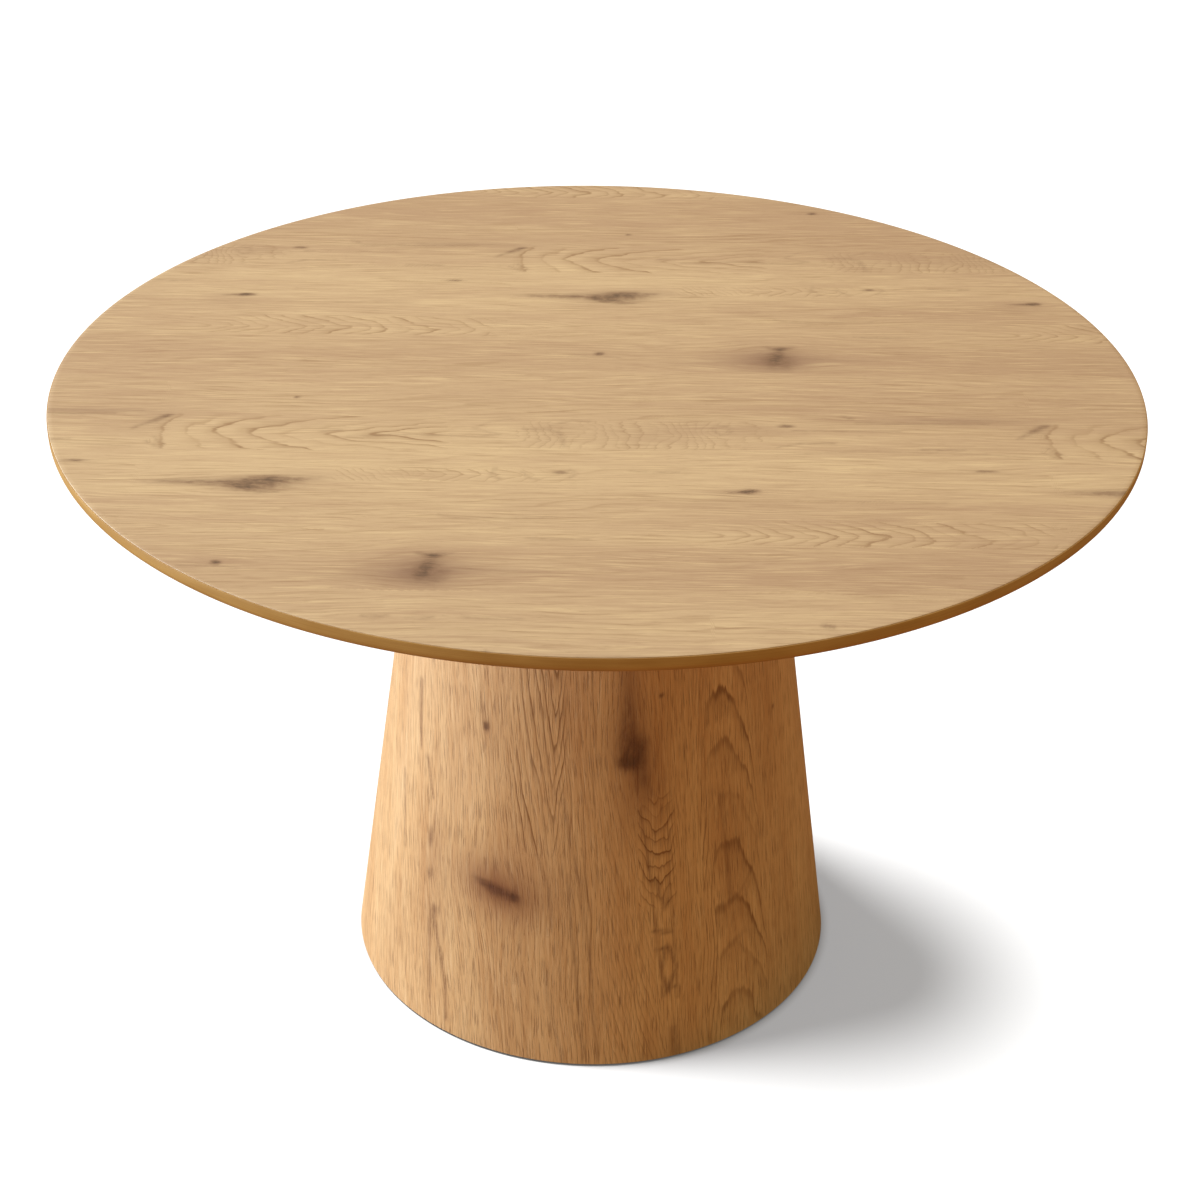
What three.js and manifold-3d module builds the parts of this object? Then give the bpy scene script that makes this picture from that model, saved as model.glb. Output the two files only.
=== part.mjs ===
// Round pedestal dining table: an 18 mm oak-decor top on a hollow conical column.
//
// Millimetres, +Z up. The origin is on the floor, on the column's axis. -Y is the front.
// The column is a framed shell: a foot ring, a middle ring and a top disc joined by slanted posts,
// wrapped in two bent panels and one sheet of oak decor whose seam is at the back (+Y).
// Four bolts hold the column's top disc to inserts in the tabletop, and six screw-in feet level it.

import * as THREE from "three";
import { mergeVertices } from "three/addons/utils/BufferGeometryUtils.js";
import Module from "manifold-3d";

const wasm = await Module();
wasm.setup();

// ---------------------------------------------------------------- driving dimensions

const TABLE_HEIGHT = 750;
const TOP_RADIUS = 600;
const TOP_THICKNESS = 18;
const COLUMN_FOOT_RADIUS = 292;
const COLUMN_TOP_RADIUS = 189.5;
const FLOOR_GAP = 3; // the column stands this far off the floor on its feet

const DECOR = 0.8; // thickness of the oak decor sheets
const BACKING = 0.6; // thickness of the sheet under the tabletop
const BAND = 2; // thickness of the tabletop's edge band
const TOP_EDGE_ROUND = 1; // radius of the edge band's upper corner
const UNDER_EDGE_ROUND = 9.5; // radius of the edge band's lower corner
const GAP = 0.3; // left between pieces whose curved faces meet
const OVERRUN = 1; // how far a cutting shape runs past the face it cuts

const PANEL = 9; // thickness of the bent shell panels
const TOP_DISC = 18;
const MIDDLE_RING = 15;
const FOOT_RING = 25;
const MIDDLE_RING_WIDTH = 62;
const FOOT_RING_HOLE_RADIUS = 195;
const SEAM = 0.6; // open joint between the two ends of the column's decor sheet

const POST_COUNT = 6;
const POST_WIDTH = 40;
const POST_DEPTH = 44;
const POST_PLAY = 0.2; // extra room round a post where it passes the curved shell and the middle ring

const BOLT_COUNT = 4;
const BOLT_CIRCLE_RADIUS = 110;
const BOLT_RADIUS = 4;
const BOLT_PLAY = 0.5; // room round a bolt in the top disc
const BOLT_HEAD_RADIUS = 6.5;
const BOLT_HEAD = 8;
const BOLT_SOCKET_FLATS = 6;
const WASHER_RADIUS = 12;
const WASHER = 2;
const INSERT_RADIUS = 6;
const TOP_INSERT = 12;
const FOOT_INSERT = 15;

const SCREW_RADIUS = 2.25;
const SCREW_HEAD_RADIUS = 4.4;
const SCREW_HEAD = 3.6;
const SCREW_LENGTH = 60;
const SCREW_TIP = 5;
const SCREW_TIP_RADIUS = 0.3;
const SCREW_SINK = 0.2; // how far a screw's head lies below the board's face

const FOOT_COUNT = 6;
const FOOT_CIRCLE_RADIUS = 255;
const FOOT_RECESS_RADIUS = 19;
const FOOT_RECESS = 7;
const PAD_RADIUS = 16;
const PAD_HEIGHT = 6;
const PAD_CHAMFER = 1.2;
const STEM_LENGTH = 37;
const STEM_SEAT = 2.8; // height of the stem's lower end in the pad
const HEX_FLATS = 13;
const HEX_HEIGHT = 3;

const TOP_SEGMENTS = 96;
const COLUMN_SEGMENTS = 72;
const HARDWARE_SEGMENTS = 16;
const ARC_STEPS = 5;

// ---------------------------------------------------------------- heights worked out from them

const TOP_UNDERSIDE = TABLE_HEIGHT - TOP_THICKNESS;
const COLUMN_TOP = TOP_UNDERSIDE;
const COLUMN_BOTTOM = FLOOR_GAP;
const DISC_UNDERSIDE = COLUMN_TOP - TOP_DISC;
const FOOT_RING_TOP = COLUMN_BOTTOM + FOOT_RING;
const MIDDLE_RING_BOTTOM = (FOOT_RING_TOP + DISC_UNDERSIDE - MIDDLE_RING) / 2;
const MIDDLE_RING_TOP = MIDDLE_RING_BOTTOM + MIDDLE_RING;
const RECESS_TOP = COLUMN_BOTTOM + FOOT_RECESS;

// Radius of the column's outside at a height, less an inset measured level.
function columnRadius(height, inset = 0) {
  const share = (height - COLUMN_BOTTOM) / (COLUMN_TOP - COLUMN_BOTTOM);
  return COLUMN_FOOT_RADIUS + (COLUMN_TOP_RADIUS - COLUMN_FOOT_RADIUS) * share - inset;
}
const PANEL_INSET = DECOR + GAP;
const FRAME_INSET = PANEL_INSET + PANEL + GAP;

// ---------------------------------------------------------------- materials

const material = (color, roughness, metalness = 0) =>
  new THREE.MeshStandardMaterial({ color, roughness, metalness });
const oakDecor = material(0xc9a678, 0.55);
const columnDecor = material(0xb98552, 0.6);
const edgeFoil = material(0xb08c4f, 0.5);
const backingPaper = material(0xcdbb9c, 0.8);
const fibreboard = material(0xa98762, 0.9);
const spruce = material(0xd9bf92, 0.8);
const zincSteel = material(0xb9bcc0, 0.35, 1);
const blackNylon = material(0x1b1b1c, 0.6);

// ---------------------------------------------------------------- shape helpers

// Turns closed outline points [radius, height] about the Z axis.
function turned(outline, segments) {
  const area = outline.reduce((sum, [r, z], i) => {
    const [nextR, nextZ] = outline[(i + 1) % outline.length];
    return sum + r * nextZ - nextR * z;
  }, 0);
  const points = (area > 0 ? outline : [...outline].reverse()).map(([r, z]) => new THREE.Vector2(r, z));
  points.push(points[0].clone());
  return new THREE.LatheGeometry(points, segments).rotateX(Math.PI / 2);
}

// A round bar between two heights, for bodies and for cutting round holes.
function bar(radius, low, high, segments = HARDWARE_SEGMENTS) {
  const points = [[0, low], [radius, low], [radius, high], [0, high]].map(([r, z]) => new THREE.Vector2(r, z));
  return new THREE.LatheGeometry(points, segments).rotateX(Math.PI / 2);
}

// A tube between two heights.
function tube(outer, inner, low, high, segments = HARDWARE_SEGMENTS) {
  return turned([[inner, low], [outer, low], [outer, high], [inner, high]], segments);
}

// A hexagonal bar between two heights, given its width across the flats.
function hexBar(flats, low, high) {
  return bar(flats / Math.sqrt(3), low, high, 6);
}

// Points on a quarter arc about a centre, from one angle to another, in degrees.
function arc(centreR, centreZ, radius, from, to) {
  return Array.from({ length: ARC_STEPS + 1 }, (_, i) => {
    const angle = THREE.MathUtils.degToRad(from + ((to - from) * i) / ARC_STEPS);
    return [centreR + radius * Math.cos(angle), centreZ + radius * Math.sin(angle)];
  });
}

function solid(geometry) {
  const bare = new THREE.BufferGeometry();
  bare.setAttribute("position", geometry.getAttribute("position"));
  bare.setIndex(geometry.index);
  const merged = mergeVertices(bare, 1e-3);
  return new wasm.Manifold(
    new wasm.Mesh({
      numProp: 3,
      vertProperties: merged.attributes.position.array,
      triVerts: new Uint32Array(merged.index.array),
    }),
  );
}

function geometryOf(manifold) {
  const mesh = manifold.getMesh();
  const geometry = new THREE.BufferGeometry();
  geometry.setAttribute("position", new THREE.BufferAttribute(mesh.vertProperties, 3));
  geometry.setIndex(new THREE.BufferAttribute(mesh.triVerts, 1));
  return geometry;
}

const cut = (geometry, tools) =>
  geometryOf(tools.reduce((body, tool) => body.subtract(solid(tool)), solid(geometry)));
const join = (first, second) => geometryOf(solid(first).add(solid(second)));

// Angles, in degrees, of pieces spaced evenly round the axis.
const around = (count, first) => Array.from({ length: count }, (_, i) => first + (360 * i) / count);
const POST_ANGLES = around(POST_COUNT, 0);
const FOOT_ANGLES = around(FOOT_COUNT, 180 / FOOT_COUNT);
const BOLT_ANGLES = around(BOLT_COUNT, 180 / BOLT_COUNT);

// The same shape moved out to a radius at each angle, for cutting a ring of holes.
const spread = (angles, radius, make) =>
  angles.map((degrees) => {
    const angle = THREE.MathUtils.degToRad(degrees);
    return make().translate(radius * Math.cos(angle), radius * Math.sin(angle), 0);
  });

// ---------------------------------------------------------------- the assembly

const table = new THREE.Group();

function add(name, geometry, finish, { radius = 0, angle = 0, parent = table } = {}) {
  const mesh = new THREE.Mesh(geometry, finish);
  mesh.name = name;
  const turn = THREE.MathUtils.degToRad(angle);
  mesh.position.set(radius * Math.cos(turn), radius * Math.sin(turn), 0);
  parent.add(mesh);
  return mesh;
}

// ---------------------------------------------------------------- tabletop

const CORE_RADIUS = TOP_RADIUS - BAND - GAP;
const CORE_TOP = TABLE_HEIGHT - DECOR;
const CORE_UNDERSIDE = TOP_UNDERSIDE + BACKING;
const BAND_TOP = TABLE_HEIGHT - DECOR;
const INNER_ROUND = UNDER_EDGE_ROUND - BAND;
const ROUND_CENTRE_R = TOP_RADIUS - UNDER_EDGE_ROUND;
const ROUND_CENTRE_Z = TOP_UNDERSIDE + UNDER_EDGE_ROUND;
const INSERT_HOLE_RADIUS = INSERT_RADIUS + GAP;

function makeTabletop() {
  // The core's underside steps up where the edge band's lower lip turns in over it.
  const core = turned(
    [
      [0, CORE_UNDERSIDE],
      [ROUND_CENTRE_R - GAP, CORE_UNDERSIDE],
      [ROUND_CENTRE_R - GAP, ROUND_CENTRE_Z - INNER_ROUND + GAP],
      ...arc(ROUND_CENTRE_R, ROUND_CENTRE_Z, INNER_ROUND - GAP, -90, 0),
      [CORE_RADIUS, CORE_TOP],
      [0, CORE_TOP],
    ],
    TOP_SEGMENTS,
  );
  const insertHoles = spread(BOLT_ANGLES, BOLT_CIRCLE_RADIUS, () =>
    bar(INSERT_HOLE_RADIUS, CORE_UNDERSIDE - OVERRUN, CORE_UNDERSIDE + TOP_INSERT + OVERRUN),
  );
  add("tabletop_core", cut(core, insertHoles), fibreboard);

  // The decor sheet reaches the edge band's rounded upper corner, so the band shows only from the side.
  add("tabletop_decor_sheet", bar(TOP_RADIUS - TOP_EDGE_ROUND, CORE_TOP, TABLE_HEIGHT, TOP_SEGMENTS), oakDecor);

  const band = turned(
    [
      [ROUND_CENTRE_R, TOP_UNDERSIDE],
      ...arc(ROUND_CENTRE_R, ROUND_CENTRE_Z, UNDER_EDGE_ROUND, -90, 0).slice(1),
      [TOP_RADIUS, BAND_TOP - TOP_EDGE_ROUND + DECOR],
      [TOP_RADIUS - TOP_EDGE_ROUND + DECOR, BAND_TOP],
      [TOP_RADIUS - BAND, BAND_TOP],
      ...arc(ROUND_CENTRE_R, ROUND_CENTRE_Z, INNER_ROUND, 0, -90),
    ],
    TOP_SEGMENTS,
  );
  add("tabletop_edge_band", band, edgeFoil);

  const backing = bar(ROUND_CENTRE_R - GAP, TOP_UNDERSIDE, CORE_UNDERSIDE, TOP_SEGMENTS);
  const backingHoles = spread(BOLT_ANGLES, BOLT_CIRCLE_RADIUS, () =>
    bar(INSERT_HOLE_RADIUS, TOP_UNDERSIDE - OVERRUN, CORE_UNDERSIDE + OVERRUN),
  );
  add("tabletop_backing_sheet", cut(backing, backingHoles), backingPaper);
}

// ---------------------------------------------------------------- column shell

const columnTube = (outerInset, innerInset) =>
  turned(
    [
      [columnRadius(COLUMN_BOTTOM, innerInset), COLUMN_BOTTOM],
      [columnRadius(COLUMN_BOTTOM, outerInset), COLUMN_BOTTOM],
      [columnRadius(COLUMN_TOP, outerInset), COLUMN_TOP],
      [columnRadius(COLUMN_TOP, innerInset), COLUMN_TOP],
    ],
    COLUMN_SEGMENTS,
  );

function makeColumnShell() {
  const size = 2 * COLUMN_FOOT_RADIUS;
  const seam = new THREE.BoxGeometry(SEAM, size, 2 * TABLE_HEIGHT).translate(0, size / 2, 0);
  add("column_decor_sheet", cut(columnTube(0, DECOR), [seam]), columnDecor);

  // Each half panel is the tube less a block that covers the other half and the joint.
  for (const [name, side] of [["front", 1], ["back", -1]]) {
    const otherHalf = new THREE.BoxGeometry(size * 2, size * 2, 2 * TABLE_HEIGHT);
    otherHalf.translate(0, side * (size - GAP), 0);
    add(`column_panel_${name}`, cut(columnTube(PANEL_INSET, PANEL_INSET + PANEL), [otherHalf]), fibreboard);
  }
}

// ---------------------------------------------------------------- column frame

const POST_SCREW_DEPTH = POST_DEPTH / 2;
const screwRadiusAt = (height) => columnRadius(height, FRAME_INSET + GAP + POST_SCREW_DEPTH);
const HEAD_SCREW_CIRCLE = screwRadiusAt(DISC_UNDERSIDE - SCREW_LENGTH / 3);
const FOOT_SCREW_CIRCLE = screwRadiusAt(FOOT_RING_TOP + SCREW_LENGTH / 3);

// A ring or disc whose outer edge follows the inside of the shell. No hole radius leaves a disc.
function framePlate(low, high, holeRadius = 0) {
  return turned(
    [
      [holeRadius, low],
      [columnRadius(low, FRAME_INSET), low],
      [columnRadius(high, FRAME_INSET), high],
      [holeRadius, high],
    ],
    COLUMN_SEGMENTS,
  );
}

// A countersunk screw standing head down with its head's face at height 0. With a clearance it is the screw's
// hole, which runs on out through the board's face.
function screwShape(clearance = 0) {
  const shank = SCREW_RADIUS + clearance;
  const head = SCREW_HEAD_RADIUS + clearance;
  const mouth = -2 * SCREW_SINK;
  const start = clearance > 0 ? [[0, mouth], [head, mouth]] : [[0, 0]];
  return turned(
    [
      ...start,
      [head, 0],
      [shank, SCREW_HEAD],
      [shank, SCREW_LENGTH - SCREW_TIP],
      [SCREW_TIP_RADIUS + clearance, SCREW_LENGTH + clearance],
      [0, SCREW_LENGTH + clearance],
    ],
    HARDWARE_SEGMENTS / 2,
  );
}
const footScrew = (clearance) => screwShape(clearance).translate(0, 0, COLUMN_BOTTOM + SCREW_SINK);
const headScrew = (clearance) => screwShape(clearance).rotateX(Math.PI).translate(0, 0, COLUMN_TOP - SCREW_SINK);

const footScrewHoles = () => spread(POST_ANGLES, FOOT_SCREW_CIRCLE, () => footScrew(GAP));
const headScrewHoles = () => spread(POST_ANGLES, HEAD_SCREW_CIRCLE, () => headScrew(GAP));

// How far the shell's curve falls inside a post's flat outer face at its corners, at the narrow end.
const NARROW_RADIUS = columnRadius(COLUMN_TOP, FRAME_INSET);
const HALF_POST = POST_WIDTH / 2 + 1;
const POST_SAGITTA = NARROW_RADIUS - Math.sqrt(NARROW_RADIUS ** 2 - HALF_POST ** 2) + POST_PLAY;

// A post's side outline follows the slope of the shell, extruded across its width.
function postShape(low, high, growth = 0) {
  const outline = new THREE.Shape(
    [
      [columnRadius(low, FRAME_INSET + GAP) - POST_SAGITTA + growth, low],
      [columnRadius(high, FRAME_INSET + GAP) - POST_SAGITTA + growth, high],
      [columnRadius(high, FRAME_INSET + GAP + POST_DEPTH) - growth, high],
      [columnRadius(low, FRAME_INSET + GAP + POST_DEPTH) - growth, low],
    ].map(([r, z]) => new THREE.Vector2(r, z)),
  );
  const width = POST_WIDTH + 2 * growth;
  const geometry = new THREE.ExtrudeGeometry(outline, { depth: width, bevelEnabled: false });
  return geometry.translate(0, 0, -width / 2).rotateX(Math.PI / 2);
}

function makeColumnFrame() {
  const boltHoles = spread(BOLT_ANGLES, BOLT_CIRCLE_RADIUS, () =>
    bar(BOLT_RADIUS + BOLT_PLAY, DISC_UNDERSIDE - OVERRUN, COLUMN_TOP + OVERRUN),
  );
  const topDisc = framePlate(DISC_UNDERSIDE, COLUMN_TOP);
  add("column_top_disc", cut(topDisc, [...boltHoles, ...headScrewHoles()]), fibreboard);

  const middleHole = columnRadius(MIDDLE_RING_BOTTOM, FRAME_INSET) - MIDDLE_RING_WIDTH;
  const notches = POST_ANGLES.map((degrees) => {
    const room = GAP + POST_PLAY;
    const slanted = postShape(MIDDLE_RING_BOTTOM - MIDDLE_RING, MIDDLE_RING_TOP + MIDDLE_RING, room);
    const outward = new THREE.BoxGeometry(POST_DEPTH, POST_WIDTH + 2 * room, MIDDLE_RING * 2);
    outward.translate(columnRadius(MIDDLE_RING_BOTTOM, FRAME_INSET), 0, MIDDLE_RING_BOTTOM + MIDDLE_RING / 2);
    return join(slanted, outward).rotateZ(THREE.MathUtils.degToRad(degrees));
  });
  add("column_middle_ring", cut(framePlate(MIDDLE_RING_BOTTOM, MIDDLE_RING_TOP, middleHole), notches), fibreboard);

  const recesses = spread(FOOT_ANGLES, FOOT_CIRCLE_RADIUS, () =>
    bar(FOOT_RECESS_RADIUS, COLUMN_BOTTOM - OVERRUN, RECESS_TOP),
  );
  const insertHoles = spread(FOOT_ANGLES, FOOT_CIRCLE_RADIUS, () =>
    bar(INSERT_HOLE_RADIUS, COLUMN_BOTTOM, FOOT_RING_TOP + OVERRUN),
  );
  const footRing = framePlate(COLUMN_BOTTOM, FOOT_RING_TOP, FOOT_RING_HOLE_RADIUS);
  add("column_foot_ring", cut(footRing, [...recesses, ...insertHoles, ...footScrewHoles()]), fibreboard);

  POST_ANGLES.forEach((degrees, i) => {
    const frame = new THREE.Group();
    frame.rotation.z = THREE.MathUtils.degToRad(degrees);
    table.add(frame);
    const pilots = [
      footScrew(GAP).translate(FOOT_SCREW_CIRCLE, 0, 0),
      headScrew(GAP).translate(HEAD_SCREW_CIRCLE, 0, 0),
    ];
    const post = cut(postShape(FOOT_RING_TOP, DISC_UNDERSIDE), pilots);
    add(`column_post_${i + 1}`, post, spruce, { parent: frame });
    add(`foot_ring_screw_${i + 1}`, footScrew(0), zincSteel, { parent: frame, radius: FOOT_SCREW_CIRCLE });
    add(`top_disc_screw_${i + 1}`, headScrew(0), zincSteel, { parent: frame, radius: HEAD_SCREW_CIRCLE });
  });
}

// ---------------------------------------------------------------- bolts that hold the tabletop

const INSERT_BORE_RADIUS = BOLT_RADIUS + GAP;

function makeTopFixings() {
  const washerTop = DISC_UNDERSIDE;
  const headTop = washerTop - WASHER;
  const shank = bar(BOLT_RADIUS, headTop - OVERRUN, CORE_UNDERSIDE + TOP_INSERT - OVERRUN);
  const head = bar(BOLT_HEAD_RADIUS, headTop - BOLT_HEAD, headTop);
  const socket = hexBar(BOLT_SOCKET_FLATS, headTop - BOLT_HEAD - OVERRUN, headTop - BOLT_HEAD / 2);
  const bolt = cut(join(head, shank), [socket]);
  BOLT_ANGLES.forEach((angle, i) => {
    const place = { radius: BOLT_CIRCLE_RADIUS, angle };
    add(`tabletop_bolt_${i + 1}`, bolt, zincSteel, place);
    add(`bolt_washer_${i + 1}`, tube(WASHER_RADIUS, BOLT_RADIUS + GAP, headTop, washerTop), zincSteel, place);
    const insert = tube(INSERT_RADIUS, INSERT_BORE_RADIUS, CORE_UNDERSIDE, CORE_UNDERSIDE + TOP_INSERT);
    add(`tabletop_insert_${i + 1}`, insert, zincSteel, place);
  });
}

// ---------------------------------------------------------------- levelling feet

function makeFeet() {
  const hexBottom = PAD_HEIGHT + GAP; // the stem's hexagon stands just clear of the pad
  const stem = join(
    bar(BOLT_RADIUS, STEM_SEAT, STEM_SEAT + STEM_LENGTH),
    hexBar(HEX_FLATS, hexBottom, hexBottom + HEX_HEIGHT),
  );
  const pad = turned(
    [
      [0, 0],
      [PAD_RADIUS - PAD_CHAMFER, 0],
      [PAD_RADIUS, PAD_CHAMFER],
      [PAD_RADIUS, PAD_HEIGHT - 2 * PAD_CHAMFER],
      [PAD_RADIUS - 2 * PAD_CHAMFER, PAD_HEIGHT],
      [INSERT_BORE_RADIUS, PAD_HEIGHT],
      [INSERT_BORE_RADIUS, STEM_SEAT],
      [0, STEM_SEAT],
    ],
    HARDWARE_SEGMENTS,
  );
  FOOT_ANGLES.forEach((angle, i) => {
    const place = { radius: FOOT_CIRCLE_RADIUS, angle };
    const insert = tube(INSERT_RADIUS, INSERT_BORE_RADIUS, RECESS_TOP, RECESS_TOP + FOOT_INSERT);
    add(`foot_insert_${i + 1}`, insert, zincSteel, place);
    add(`levelling_foot_stem_${i + 1}`, stem, zincSteel, place);
    add(`levelling_foot_pad_${i + 1}`, pad, blackNylon, place);
  });
}

makeTabletop();
makeColumnShell();
makeColumnFrame();
makeTopFixings();
makeFeet();

export default table;
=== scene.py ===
"""The looks of the round pedestal table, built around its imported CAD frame.

Metres, +Z up, -Y the front. The two oak prints are worked out in millimetres as number fields, stored on the
vertices of fine sheets. Their material turns the fields into colour and adds streaks, hairlines and pores.
"""

import math

import bmesh
import bpy
import numpy as np
from mathutils import Matrix, Vector


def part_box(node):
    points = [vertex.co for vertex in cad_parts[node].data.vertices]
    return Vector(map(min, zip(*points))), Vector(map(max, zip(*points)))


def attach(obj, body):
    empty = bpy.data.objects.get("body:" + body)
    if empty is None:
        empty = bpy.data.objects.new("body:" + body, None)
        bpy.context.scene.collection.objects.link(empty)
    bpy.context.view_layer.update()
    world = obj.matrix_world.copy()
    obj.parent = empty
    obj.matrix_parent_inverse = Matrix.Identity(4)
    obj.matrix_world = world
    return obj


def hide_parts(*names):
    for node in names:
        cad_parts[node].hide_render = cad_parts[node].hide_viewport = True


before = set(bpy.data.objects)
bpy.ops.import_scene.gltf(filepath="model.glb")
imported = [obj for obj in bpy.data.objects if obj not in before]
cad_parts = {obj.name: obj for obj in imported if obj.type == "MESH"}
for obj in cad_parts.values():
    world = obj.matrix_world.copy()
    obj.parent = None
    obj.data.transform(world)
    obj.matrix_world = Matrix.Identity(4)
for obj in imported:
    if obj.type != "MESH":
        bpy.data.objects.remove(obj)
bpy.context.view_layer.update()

MM = 0.001
TURN = 2 * math.pi
FIXED = "table"  # the body that everything but the feet rides on

TOP_CELLS = (240, 374)  # cells of the tabletop's sheet along and across its grain
COLUMN_CELLS = (580, 150)  # cells of the column's sheet round it and up it
BAND_SEGMENTS = 720
HARDWARE_SEGMENTS = 64


# ---------------------------------------------------------------- sizes taken from the frame


def node_points(node):
    """The corner points of a CAD node, in metres."""
    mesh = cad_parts[node].data
    points = np.zeros(len(mesh.vertices) * 3)
    mesh.vertices.foreach_get("co", points)
    return points.reshape(-1, 3)


def node_axis(node):
    """Where the upright axis of a CAD node stands."""
    low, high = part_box(node)
    return (low.x + high.x) / 2, (low.y + high.y) / 2


sheet_low, sheet_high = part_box("tabletop_decor_sheet")
band_low, band_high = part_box("tabletop_edge_band")
column_low, column_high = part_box("column_decor_sheet")
SHEET_RADIUS = sheet_high.x
TOP_RADIUS = band_high.x
SHEET_THICKNESS = sheet_high.z - sheet_low.z
FOOT_RADIUS = -column_low.y
column_points = node_points("column_decor_sheet")
upper_ring = column_points[column_points[:, 2] > column_high.z - 0.1 * MM]
HEAD_RADIUS = np.hypot(upper_ring[:, 0], upper_ring[:, 1]).max()
SLOPE = math.atan((FOOT_RADIUS - HEAD_RADIUS) / (column_high.z - column_low.z))


def column_radius(height):
    """Radius of the column's outside at a height."""
    return FOOT_RADIUS - (height - column_low.z) * math.tan(SLOPE)


# ---------------------------------------------------------------- mesh helpers


def make_piece(name, points, faces, material, body=FIXED, replaces=(), sharp=40, fields=None):
    """A smooth-shaded object that rides on a body, with named numbers stored on its vertices."""
    mesh = bpy.data.meshes.new(name)
    mesh.from_pydata([tuple(p) for p in points], [], [tuple(f) for f in faces])
    mesh.polygons.foreach_set("use_smooth", [True] * len(mesh.polygons))
    mesh.set_sharp_from_angle(angle=math.radians(sharp))
    for field, values in (fields or {}).items():
        values = np.asarray(values, np.float32)
        kind = "FLOAT_VECTOR" if values.ndim == 2 else "FLOAT"
        attribute = mesh.attributes.new(field, kind, "POINT")
        attribute.data.foreach_set("vector" if values.ndim == 2 else "value", values.ravel())
    mesh.materials.append(material)
    piece = bpy.data.objects.new(name, mesh)
    bpy.context.scene.collection.objects.link(piece)
    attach(piece, body)
    if replaces:
        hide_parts(*replaces)
    return piece


def skin(rings, closed=False):
    """Faces between rings of point indices. A ring that repeats one index gives triangles."""
    faces = []
    for lower, upper in zip(rings, rings[1:] + (rings[:1] if closed else [])):
        for i in range(len(lower)):
            j = (i + 1) % len(lower)
            face = list(dict.fromkeys([lower[i], lower[j], upper[j], upper[i]]))
            if len(face) > 2:
                faces.append(face)
    return faces


def round_rings(levels, segments, reach):
    """Points and rings of indices about Z, one ring for each level. A level starts with a radius and a height;
    a radius of 0 is one shared point. reach gives a point's radius and height from its level and angle."""
    points, rings = [], []
    for level in levels:
        first = len(points)
        if level[0] == 0:
            points.append((0, 0, level[1]))
            rings.append([first] * segments)
            continue
        for i in range(segments):
            angle = TURN * i / segments
            radius, height = reach(level, angle)
            points.append((radius * math.cos(angle), radius * math.sin(angle), height))
        rings.append(list(range(first, first + segments)))
    return points, rings


def turned(outline, segments):
    """Points and faces of a closed outline of (radius, height) turned about Z."""
    points, rings = round_rings(outline, segments, lambda level, angle: level)
    return points, skin(rings, closed=True)


def arc(centre_r, centre_z, radius, start, end, steps):
    """Outline points on an arc, from one angle to another in degrees."""
    angles = np.radians(np.linspace(start, end, steps + 1))
    return [(centre_r + radius * math.cos(a), centre_z + radius * math.sin(a)) for a in angles]


def moved(points, x=0, y=0, z=0):
    return [(p[0] + x, p[1] + y, p[2] + z) for p in points]


# ---------------------------------------------------------------- number fields


def smoothstep(low, high, x):
    t = np.clip((x - low) / (high - low), 0, 1)
    return t * t * (3 - 2 * t)


def window(x, low, high, soft):
    """1 between low and high, falling to 0 over a soft margin outside them."""
    return smoothstep(low - soft, low, x) * (1 - smoothstep(high, high + soft, x))


def wobble(x, y, length, seed, octaves=3):
    """Smooth noise of about -1 to 1, made of waves about this long."""
    rng = np.random.default_rng(seed)
    total = np.zeros(np.shape(x))
    for octave in range(octaves):
        for _ in range(5):
            angle, start = rng.uniform(0, TURN, 2)
            k = TURN / (length * rng.uniform(0.7, 1.5)) * 2**octave
            total += np.cos(k * (x * math.cos(angle) + y * math.sin(angle)) + start) / 2**octave
    return total / 3.2


def wrapped(distance, period):
    """A distance in a pattern that may repeat, measured to its nearest repeat."""
    return (distance + period / 2) % period - period / 2 if period else distance


def strokes_field(u, v, strokes, period=None):
    """Strength of soft lines at each place: each is a depth and points of (u, v, half width)."""
    total = np.zeros(np.shape(u))
    for depth, points in strokes:
        along = wrapped(u - points[0][0], period)
        near = np.full(np.shape(u), np.inf)
        for (u0, v0, w0), (u1, v1, w1) in zip(points, points[1:]):
            du, dv = u1 - u0, v1 - v0
            x, y = along + points[0][0] - u0, v - v0
            t = np.clip((x * du + y * dv) / (du * du + dv * dv), 0, 1)
            near = np.minimum(near, np.hypot(x - t * du, y - t * dv) / (w0 + t * (w1 - w0)))
        total = np.maximum(total, depth * np.exp(-near**2))
    return total


def blobs_field(u, v, blobs, period=None):
    """Strength of soft ovals: each is a depth, a centre, half sizes and a tilt in degrees."""
    total = np.zeros(np.shape(u))
    for depth, u0, v0, half_u, half_v, tilt in blobs:
        x, y = wrapped(u - u0, period), v - v0
        c, s = math.cos(math.radians(tilt)), math.sin(math.radians(tilt))
        total += depth * np.exp(-(((x * c + y * s) / half_u) ** 2) - ((y * c - x * s) / half_v) ** 2)
    return total


def bend_round(u, v, knots, period=None):
    """How far the grain lines are pushed aside by knots, each a centre, half sizes and a push."""
    push = np.zeros(np.shape(u))
    for u0, v0, half_u, half_v, most in knots:
        x, y = wrapped(u - u0, period), v - v0
        push -= most * (y / half_v) * np.exp(-((x / half_u) ** 2) - (y / half_v) ** 2)
    return push


def strongest(shape, regions):
    """The ring phase and strength of whichever region is strongest at each place."""
    phase, strength = np.zeros(shape), np.zeros(shape)
    for region_phase, region_strength in regions:
        wins = region_strength > strength
        phase = np.where(wins, region_phase, phase)
        strength = np.where(wins, region_strength, strength)
    return phase, strength


# ---------------------------------------------------------------- the tabletop's oak print, in millimetres
# u runs along the planks and v across them. One print row is 491 deep and 936 long, and each row is
# moved 362 along from the one in front of it.

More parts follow.
